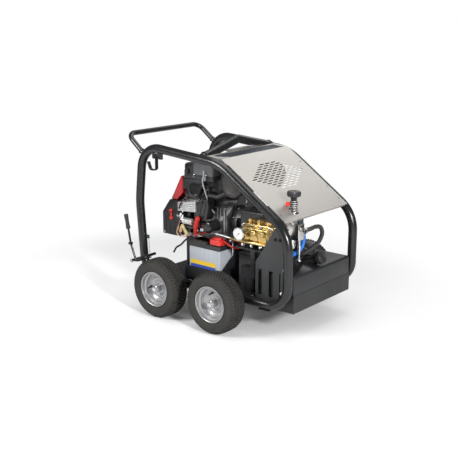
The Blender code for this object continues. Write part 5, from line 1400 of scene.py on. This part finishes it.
def make_pump_body():
    refinish("pump_stand", satin_black, 0.0008)
    station = 0.336
    body = soft_block("body", at(station, -0.136, 0.438), at(0.612, 0.086, PUMP_TOP), 0.016, 0.012,
        5, lower=0.006)
    pieces = [body]
    for k in range(6):
        x = at(0.385 + k * 0.036, 0, 0).x
        pieces.append(soft_block("fin", (x - 0.0025, -0.11, PUMP_TOP - 0.002),
            (x + 0.0025, 0.062, PUMP_TOP + 0.0024), 0.001, 0.001, 2))
    rear = lathe("rear_cover", mm((0, 0), (60, 0), (62, 1), (62, 6), (56, 7.5), (30, 8.5),
        (0, 8.5)), at(0.612, -0.024, 0.518), (1, 0, 0), 56)
    pieces.append(rear)
    boss = lathe("boss", mm((0, 0), (20, 0), (20, 4), (0, 4)), at(0.47, 0, PUMP_TOP), (0, 0, 1), 36)
    pieces.append(boss)
    fit(merged("pump_case", pieces), pump_enamel, ["pump_crankcase"])
    cap = lathe("pump_oil_cap", mm((0, 4), (15, 4), (16, 5, 1.2), (16, 15, 1.2), (14.8, 17, 0.6),
        (8, 18), (0, 18)), at(0.47, 0, PUMP_TOP), (0, 0, 1), ribs=12)
    fit(cap, red_plastic)
    for i, turn in enumerate(math.tau * (k + 0.5) / 6 for k in range(6)):
        spot = at(0.618, -0.024 + 0.051 * math.cos(turn), 0.518 + 0.051 * math.sin(turn))
        screw_head("pump_cover_bolt_%d" % (i + 1), spot, (1, 0, 0), 0.0042, bright_steel)
    glass = lathe("pump_sight_glass", mm((0, 0), (12.5, 0), (13, 1), (13, 5), (11.5, 6), (8.5, 6),
        (8, 4.5), (0, 4.5)), at(0.6205, -0.024, 0.5), (1, 0, 0), 32)
    fit(glass, brass)


def make_bell():
    rear, front = 0.2323, 0.3357
    big, small = 0.086, 0.074
    outline = [(big - 0.001, rear), (big, rear + 0.001), (big, rear + 0.011),
        (big - 0.001, rear + 0.012), (small + 0.006, rear + 0.018), (small + 0.002, rear + 0.03),
        (small + 0.002, front - 0.013), (small + 0.0035, front - 0.011),
        (small + 0.008, front - 0.01), (small + 0.008, front - 0.001), (small + 0.007, front),
        (small - 0.006, front), (small - 0.006, rear + 0.028), (big - 0.01, rear)]
    bell = lathe("bell", outline, at(0, 0, CRANK_Z), (1, 0, 0), 72, ring=True)
    window = plate("window", [(rear + 0.034, CRANK_Z - 0.032), (front - 0.018, CRANK_Z - 0.032),
        (front - 0.018, CRANK_Z + 0.032), (rear + 0.034, CRANK_Z + 0.032)], -0.1, 0.1)
    boolean(bell, "DIFFERENCE", window)
    fit(bell, cast_dark, ["bell_housing"])
    for i in range(8):
        turn = math.tau * (i + 0.5) / 8
        spot = at(rear + 0.012, 0.081 * math.cos(turn), CRANK_Z + 0.081 * math.sin(turn))
        screw_head("bell_bolt_%d" % (i + 1), spot, (1, 0, 0), 0.0036, bright_steel,
            kind="socket", height=0.006)


def valve_cap(place, out, radius=CAP_RADIUS, tall=0.022):
    """Hexagon valve cap with its collar and a domed top."""
    collar = lathe("collar", [(0, -0.001), (radius * 0.96, -0.001), (radius, 0.0006),
        (radius, 0.004), (radius * 0.93, 0.0052), (0, 0.0052)], place, out, 40)
    base = Vector(place) + Vector(out) * 0.0052
    cap = lathe("cap", [(0, 0), (radius * 0.93, 0), (radius * 0.97, 0.0008),
        (radius * 0.97, tall - 0.009), (radius * 0.84, tall - 0.0064), (0, tall - 0.0064)], base,
        out, 6)
    dome = lathe("dome", [(0, 0), (radius * 0.62, 0), (radius * 0.6, 0.0016),
        (radius * 0.48, 0.0026), (radius * 0.25, 0.0032), (0, 0.0034)], base + Vector(out)
        * (tall - 0.0066), out, 32)
    return [collar, cap, dome]


def make_pump_head():
    (x0, x1), (y0, y1), (z0, z1) = HEAD
    middle = (x0 + x1) / 2
    pieces = [soft_block("upper", at(x0, y0 + 0.022, 0.508), at(x1, y1, z1), 0.006, 0.005, 3,
        lower=0.002), soft_block("lower", at(x0 + 0.002, y0, z0), at(x1 - 0.002, y1, 0.55), 0.006,
        0.007, 3, lower=0.005)]
    bar_y, bar_z = INLET
    for k in (-1, 0, 1):
        x = middle + k * VALVE_PITCH
        pieces += valve_cap(at(x, -0.191, z1 - 0.001), (0, 0, 1))
        if k >= 0:
            pieces += valve_cap(at(x, y0 + 0.001, 0.528), (0, -1, 0), tall=0.019)
        pieces.append(lathe("cheek", mm((0, 0), (24, 0), (25.5, 1.2), (25.5, 30), (24, 31.5),
            (0, 31.5)), at(x, y0 + 0.027, 0.495), (0, -1, 0), 40))
        pieces.append(soft_block("neck", at(x - 0.008, bar_y, z0 + 0.002),
            at(x + 0.008, y0 + 0.004, z0 + 0.012), 0.002, 0.001, 2))
    fit(merged("brass_head", pieces), brass, ["pump_head"])
    bar = mm((0, 0), (7.8, 0), (8.5, 1.2), (8.5, 240.8), (7.8, 242), (0, 242))
    fit(lathe("inlet_bar", bar, at(0.378, bar_y, bar_z), (1, 0, 0), 36), brass)
    for k in (-1, 0, 1):
        x = middle + k * VALVE_PITCH
        nut = valve_cap(at(x - 0.022, -0.238, z0 + 0.0015), (0, 0, -1), radius=0.0095, tall=0.029)
        fit(merged("head_nut_%d" % (k + 2), nut), chrome)
    for i, (dx, z) in enumerate(((-0.087, 0.555), (-0.029, 0.555), (0.029, 0.555), (0.085, 0.555))):
        screw_head("head_bolt_%d" % (i + 1), at(middle + dx, y0 + 0.0218, z), (0, -1, 0), 0.0056,
            bright_steel, kind="socket", height=0.009)
    start, end = at(0.164, -0.178, 0.458), at(0.345, -0.178, 0.4465)
    rod = lathe("steady_bar", [(0, 0), (0.0056, 0), (0.0064, 0.001), (0.0064, (end - start).length),
        (0, (end - start).length)], start, end - start, 28)
    fit(rod, bright_alloy)
    lug = plate("steady_lug", [(0.336, 0.437), (0.352, 0.437), (0.352, 0.456), (0.336, 0.456)],
        -0.186, -0.135, edge=0.001)
    fit(lug, satin_black)


def make_gauge():
    """Dial gauge with a bright case, a plain white dial and its needle at zero."""
    pivot = next(Vector(j["pos_m"]) for j in frame["joints"] if j["child"] == "needle")
    back = Vector((pivot.x, -0.276, pivot.z))
    r = 0.0345
    profile = [(0, -0.0297), (0.0072, -0.0297), (0.008, -0.029), (0.008, 0.0), (0.026, 0.0),
        (0.0305, 0.001), (0.033, 0.004), (0.0335, 0.017), (r, 0.0178), (r, 0.024), (0.0335, 0.0258),
        (0.0315, 0.026), (0.0303, 0.0245), (0.0303, 0.02), (0, 0.02)]
    fit(lathe("gauge_case", profile, back, (0, -1, 0), 64), chrome,
        ["pressure_gauge"])
    dial_white = node_finish("dial_white", (0.78, 0.78, 0.76), 0.45, drift=0.03, cloud=20)
    dial = lathe("gauge_dial", mm((0, 19.8), (30, 19.8), (30, 20.3), (0, 20.3)), back, (0, -1, 0),
        56)
    fit(dial, dial_white)
    marks = []
    for k in range(28):
        turn = math.radians(-135 + 10 * k)
        lay = Vector((math.sin(turn), 0, math.cos(turn)))
        across = Vector((lay.z, 0, -lay.x))
        inner, wide = (0.0205, 0.00055) if k % 3 == 0 else (0.0235, 0.0003)
        bm = bmesh.new()
        spots = [pivot + lay * a + across * b for a, b in ((inner, -wide), (0.0268, -wide),
            (0.0268, wide), (inner, wide))]
        rings = [[bm.verts.new(Vector((p.x, back.y - d, p.z))) for p in spots]
            for d in (0.0202, 0.0205)]
        skin(bm, rings)
        marks.append(mesh_object("mark", bm))
    fit(merged("dial_marks", marks), black_screw)
    turn = math.radians(-135)
    lay = Vector((math.sin(turn), 0, math.cos(turn)))
    across = Vector((lay.z, 0, -lay.x))
    bm = bmesh.new()
    spots = [pivot + lay * a + across * b for a, b in ((-0.009, -0.0014), (0.0, -0.0016),
        (0.0245, -0.0003), (0.0245, 0.0003), (0.0, 0.0016), (-0.009, 0.0014))]
    skin(bm, [[bm.verts.new(Vector((p.x, pivot.y + d, p.z))) for p in spots]
        for d in (-0.0008, -0.0016)])
    pointer = mesh_object("pointer", bm)
    hub = lathe("hub", mm((0, 0), (3.2, 0), (3.5, 0.3), (3.5, 1.8), (2.8, 2.2), (0, 2.2)), pivot,
        (0, -1, 0), 24)
    fit(merged("dial_needle", [pointer, hub]), black_screw, ["gauge_needle"],
        "needle")


make_pump_body()
make_bell()
make_pump_head()
make_gauge()


# ---- pressure valve ----------------------------------------------------------
# The nickel-plated unloader stands ahead of the pump.  A ribbed hand knob above
# the hood loads its spring, and a blue and a black hose lead from it.
VALVE = (0.7, -0.147)
VALVE_Z = (0.505, 0.592)
KNOB_Z = (0.728, 0.757)
KNOB_R = 0.0365


def make_unloader():
    x, y = VALVE
    low, high = VALVE_Z
    top = KNOB_Z[0] - 0.0003
    pieces = [soft_block("block", at(x - 0.026, y - 0.026, low), at(x + 0.052, y + 0.026, high),
        0.004, 0.0025, 3, lower=0.0025)]
    pieces.append(lathe("collar", mm((0, 0), (23.5, 0), (24, 1), (24, 18), (22.5, 20), (0, 20)),
        at(x, y, high), (0, 0, 1), 6))
    rows = [(0, high + 0.02), (0.02, high + 0.02)]
    for k in range(5):
        z = high + 0.0215 + k * 0.0062
        rows += [(0.02, z), (0.0168, z + 0.001), (0.0168, z + 0.0034), (0.02, z + 0.0044)]
    for k in range(5):
        z = high + 0.056 + k * 0.0112
        rows += [(0.0182, z), (0.0216, z + 0.0006), (0.0216, z + 0.0054), (0.0182, z + 0.006)]
    rows += [(0.0182, high + 0.115), (0.0112, high + 0.116), (0.0112, top), (0, top)]
    pieces.append(lathe("tower", rows, at(x, y, 0), (0, 0, 1), 48))
    pieces.append(lathe("stage", mm((0, 0), (15, 0), (16.5, 1.2), (16.5, 10), (19.5, 10.8),
        (19.5, 26), (18, 27), (18, 33), (19.5, 34), (19.5, 51), (0, 51)),
        at(x - 0.005, y - 0.004, low - 0.05), (0, 0, 1), 48))
    pieces.append(lathe("stem", mm((0, 0), (5.2, 0), (5.2, 30), (6.5, 31), (6.5, 60), (8.5, 61),
        (8.5, 80), (6.5, 81), (6.5, 110), (0, 110)), at(x + 0.036, y + 0.004, 0.396), (0, 0, 1),
        32))
    pieces.append(lathe("return", mm((0, 0), (11, 0), (11.5, 0.5), (11.5, 9.5), (11, 10), (0, 10)),
        at(x + 0.036, y + 0.024, 0.53), (0, 1, 0), 6))
    pieces.append(lathe("bypass", mm((0, 0), (11.5, 0), (12, 0.5), (12, 11.5), (11.5, 12), (0, 12)),
        at(x + 0.05, y + 0.005, 0.56), (1, 0, 0), 6))
    path = rounded_path([(at(0.6123, -0.19, 0.545), 0), (at(0.648, -0.19, 0.545), 0.02),
        (at(x - 0.01, -0.16, 0.556), 0)])
    pieces.append(mesh_object("feed", tube_mesh(path, 0.0115, (0, 0, 1), 28)))
    for station in (0.6125, 0.634):
        pieces.append(lathe("union", mm((0, 0), (14, 0), (14.8, 0.8), (14.8, 10), (14, 10.8),
            (0, 10.8)), at(station, -0.19, 0.545), (1, 0, 0), 6))
    fit(merged("unloader", pieces), nickel, ["unloader_valve"])
    ball = lathe("drain_tip", mm((0, -12), (6, -10.4), (10.4, -6), (12, 0), (10.4, 6), (6, 10.4),
        (0, 12)), at(x + 0.036, y + 0.004, 0.394), (0, 0, 1), 32)
    fit(ball, chrome)
    seals = [lathe("neck", [(0.011, high + 0.1162), (0.015, high + 0.1162), (0.016, high + 0.118),
        (0.016, high + 0.129), (0.014, high + 0.131), (0.014, top), (0.011, top)], at(x, y, 0),
        (0, 0, 1), 40, ring=True)]
    for k in range(5):
        z = high + 0.0622 + k * 0.0112
        seals.append(lathe("seal", [(0.018, z), (0.0196, z), (0.0202, z + 0.0024),
            (0.0196, z + 0.0048), (0.018, z + 0.0048)], at(x, y, 0), (0, 0, 1), 40, ring=True))
    fit(merged("valve_seals", seals), black_screw)
    side_port = Vector((-0.84, -0.54, 0)).normalized()
    port = lathe("relief_cap", mm((0, 12), (7, 12), (7, 21), (11, 21.5), (11.8, 23, 1),
        (11.8, 38, 1), (10.4, 40), (0, 40.2)), at(x, y, 0.6895), side_port, ribs=10)
    fit(port, red_plastic)
    teal = node_finish("dark_teal_cap", (0.022, 0.034, 0.038), 0.42, drift=0.1, cloud=30)
    cap = lathe("port_cap", mm((0, 0), (11.8, 0), (12.5, 1, 1), (12.5, 15, 1), (11.2, 17.2),
        (6, 18), (0, 18)), at(x + 0.027, y + 0.02, high - 0.002), (0, 0, 1), ribs=10)
    fit(cap, teal)
    spring = []
    turns, start, reach = 6, high + 0.0222, 0.0305
    for k in range(turns * 24 + 1):
        turn = math.tau * k / 24
        spring.append(at(x, y, 0) + Vector((0.0186 * math.cos(turn), 0.0186 * math.sin(turn), start
            + reach * k / (turns * 24))))
    fit(mesh_object("valve_spring", tube_mesh(spring, 0.0016, (0, 0, 1), 10)), black_screw)


def make_knob():
    x, y = VALVE
    knob_plastic = node_finish("knob_phenolic", (0.017, 0.017, 0.018), 0.36, drift=0.1, cloud=30,
        grain=0.001, bump=0.05)
    r, tall, deep = KNOB_R, KNOB_Z[1] - KNOB_Z[0], 0.003
    profile = [(0, 0), (r - 0.008, 0), (r - 0.003, 0.003), (r - 0.0006, 0.006, deep),
        (r, 0.009, deep), (r, tall - 0.009, deep), (r - 0.0006, tall - 0.0056, deep),
        (r - 0.004, tall - 0.0016), (r - 0.0075, tall), (0.015, tall), (0.013, tall - 0.0016),
        (0.011, tall - 0.0016), (0.0095, tall - 0.0004), (0, tall - 0.0004)]
    knob = lathe("hand_knob", profile, at(x, y, KNOB_Z[0]), (0, 0, 1), ribs=12)
    fit(knob, knob_plastic, ["regulator_knob"], "regulator")


make_unloader()
make_knob()


# ---- hoses and fuel filter ---------------------------------------------------
# Both hoses leave the valve on crimped fittings: the blue one feeds the inlet
# bar and the black one drains to the bowl on the tank.
def ferrule(name, place, out, radius, length=0.02):
    """Crimped sleeve over a hose's end, with its hexagon nut."""
    sleeve = lathe("sleeve", [(radius * 0.9, 0.006), (radius + 0.001, 0.006),
        (radius + 0.0016, 0.007), (radius + 0.001, 0.0095), (radius + 0.0016, 0.012),
        (radius + 0.001, 0.0145), (radius + 0.0016, length - 0.001), (radius + 0.0008, length),
        (radius * 0.9, length)], place, out, 36, ring=True)
    nut = lathe("nut", [(0, 0), (radius + 0.0018, 0), (radius + 0.0024, 0.0006),
        (radius + 0.0024, 0.006), (radius + 0.0018, 0.0066), (0, 0.0066)], place, out, 6)
    return fit(merged(name, [sleeve, nut]), chrome)


HOSE_R = 0.0112


def make_hoses():
    blue_rubber = node_finish("blue_hose_rubber", (0.012, 0.135, 0.52), 0.34, drift=0.08, cloud=30,
        grain=0.0008, bump=0.04, coat=0.15)
    x, y = VALVE
    blue = [(x + 0.036, y + 0.0343, 0.53), (x + 0.036, y + 0.0403, 0.53), (0.732, -0.097, 0.505),
        (0.722, -0.104, 0.452), (0.704, -0.142, 0.421), (0.69, -0.195, 0.418),
        (0.672, -0.24, 0.443), (0.648, -0.2575, 0.47), (0.6263, *INLET), (0.6203, *INLET)]
    cable_run("blue_feed_hose", blue, HOSE_R, blue_rubber, ["blue_hose"], sides=28)
    black = [(x + 0.0623, y + 0.005, 0.56), (x + 0.0683, y + 0.005, 0.56), (0.783, -0.118, 0.565),
        (0.788, -0.07, 0.569), (0.787, -0.025, 0.556), (0.782, -0.002, 0.515),
        (0.764, -0.012, 0.465), (0.735, -0.042, 0.43), (0.708, -0.064, 0.408),
        (0.682, -0.054, 0.39), (0.655, -0.015, 0.38), (0.625, 0.04, 0.378), (0.604, 0.085, 0.378),
        (0.6, 0.1052, 0.378), (0.6, 0.1112, 0.378)]
    cable_run("black_drain_hose", black, HOSE_R, black_rubber, ["black_hose"],
        sides=28)
    ferrule("blue_fitting_low", at(0.6203, *INLET), (1, 0, 0), HOSE_R)
    ferrule("blue_fitting_high", at(x + 0.036, y + 0.0343, 0.53), (0, 1, -0.15), HOSE_R, 0.016)
    ferrule("black_fitting_high", at(x + 0.0623, y + 0.005, 0.56), (1, 0.25, 0.02), HOSE_R, 0.022)
    ferrule("black_fitting_low", at(0.6, 0.1112, 0.378), (0, -1, 0), HOSE_R)
    band = lathe("hose_band", [(HOSE_R - 0.0002, 0), (HOSE_R + 0.0004, 0),
        (HOSE_R + 0.0006, 0.0004), (HOSE_R + 0.0006, 0.0076), (HOSE_R + 0.0004, 0.008),
        (HOSE_R - 0.0002, 0.008)], at(0.7852, -0.1, 0.5672), (0.1, 1, 0.05), 32, ring=True)
    fit(band, yellow)


def make_filter_bowl():
    low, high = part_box("inlet_filter")
    centre = (low + high) / 2
    base = Vector((centre.x, centre.y, low.z))
    bowl = lathe("bowl", mm((0, 0), (33, 0), (37, 3), (37.5, 40), (38.5, 41, 1.2), (38.5, 60, 1.2),
        (37, 64), (30, 67), (18, 69), (17, 70), (0, 70)), base, (0, 0, 1), ribs=18)
    fit(merged("filter_bowl", [bowl]), filter_grey, ["inlet_filter"])


make_hoses()
make_filter_bowl()
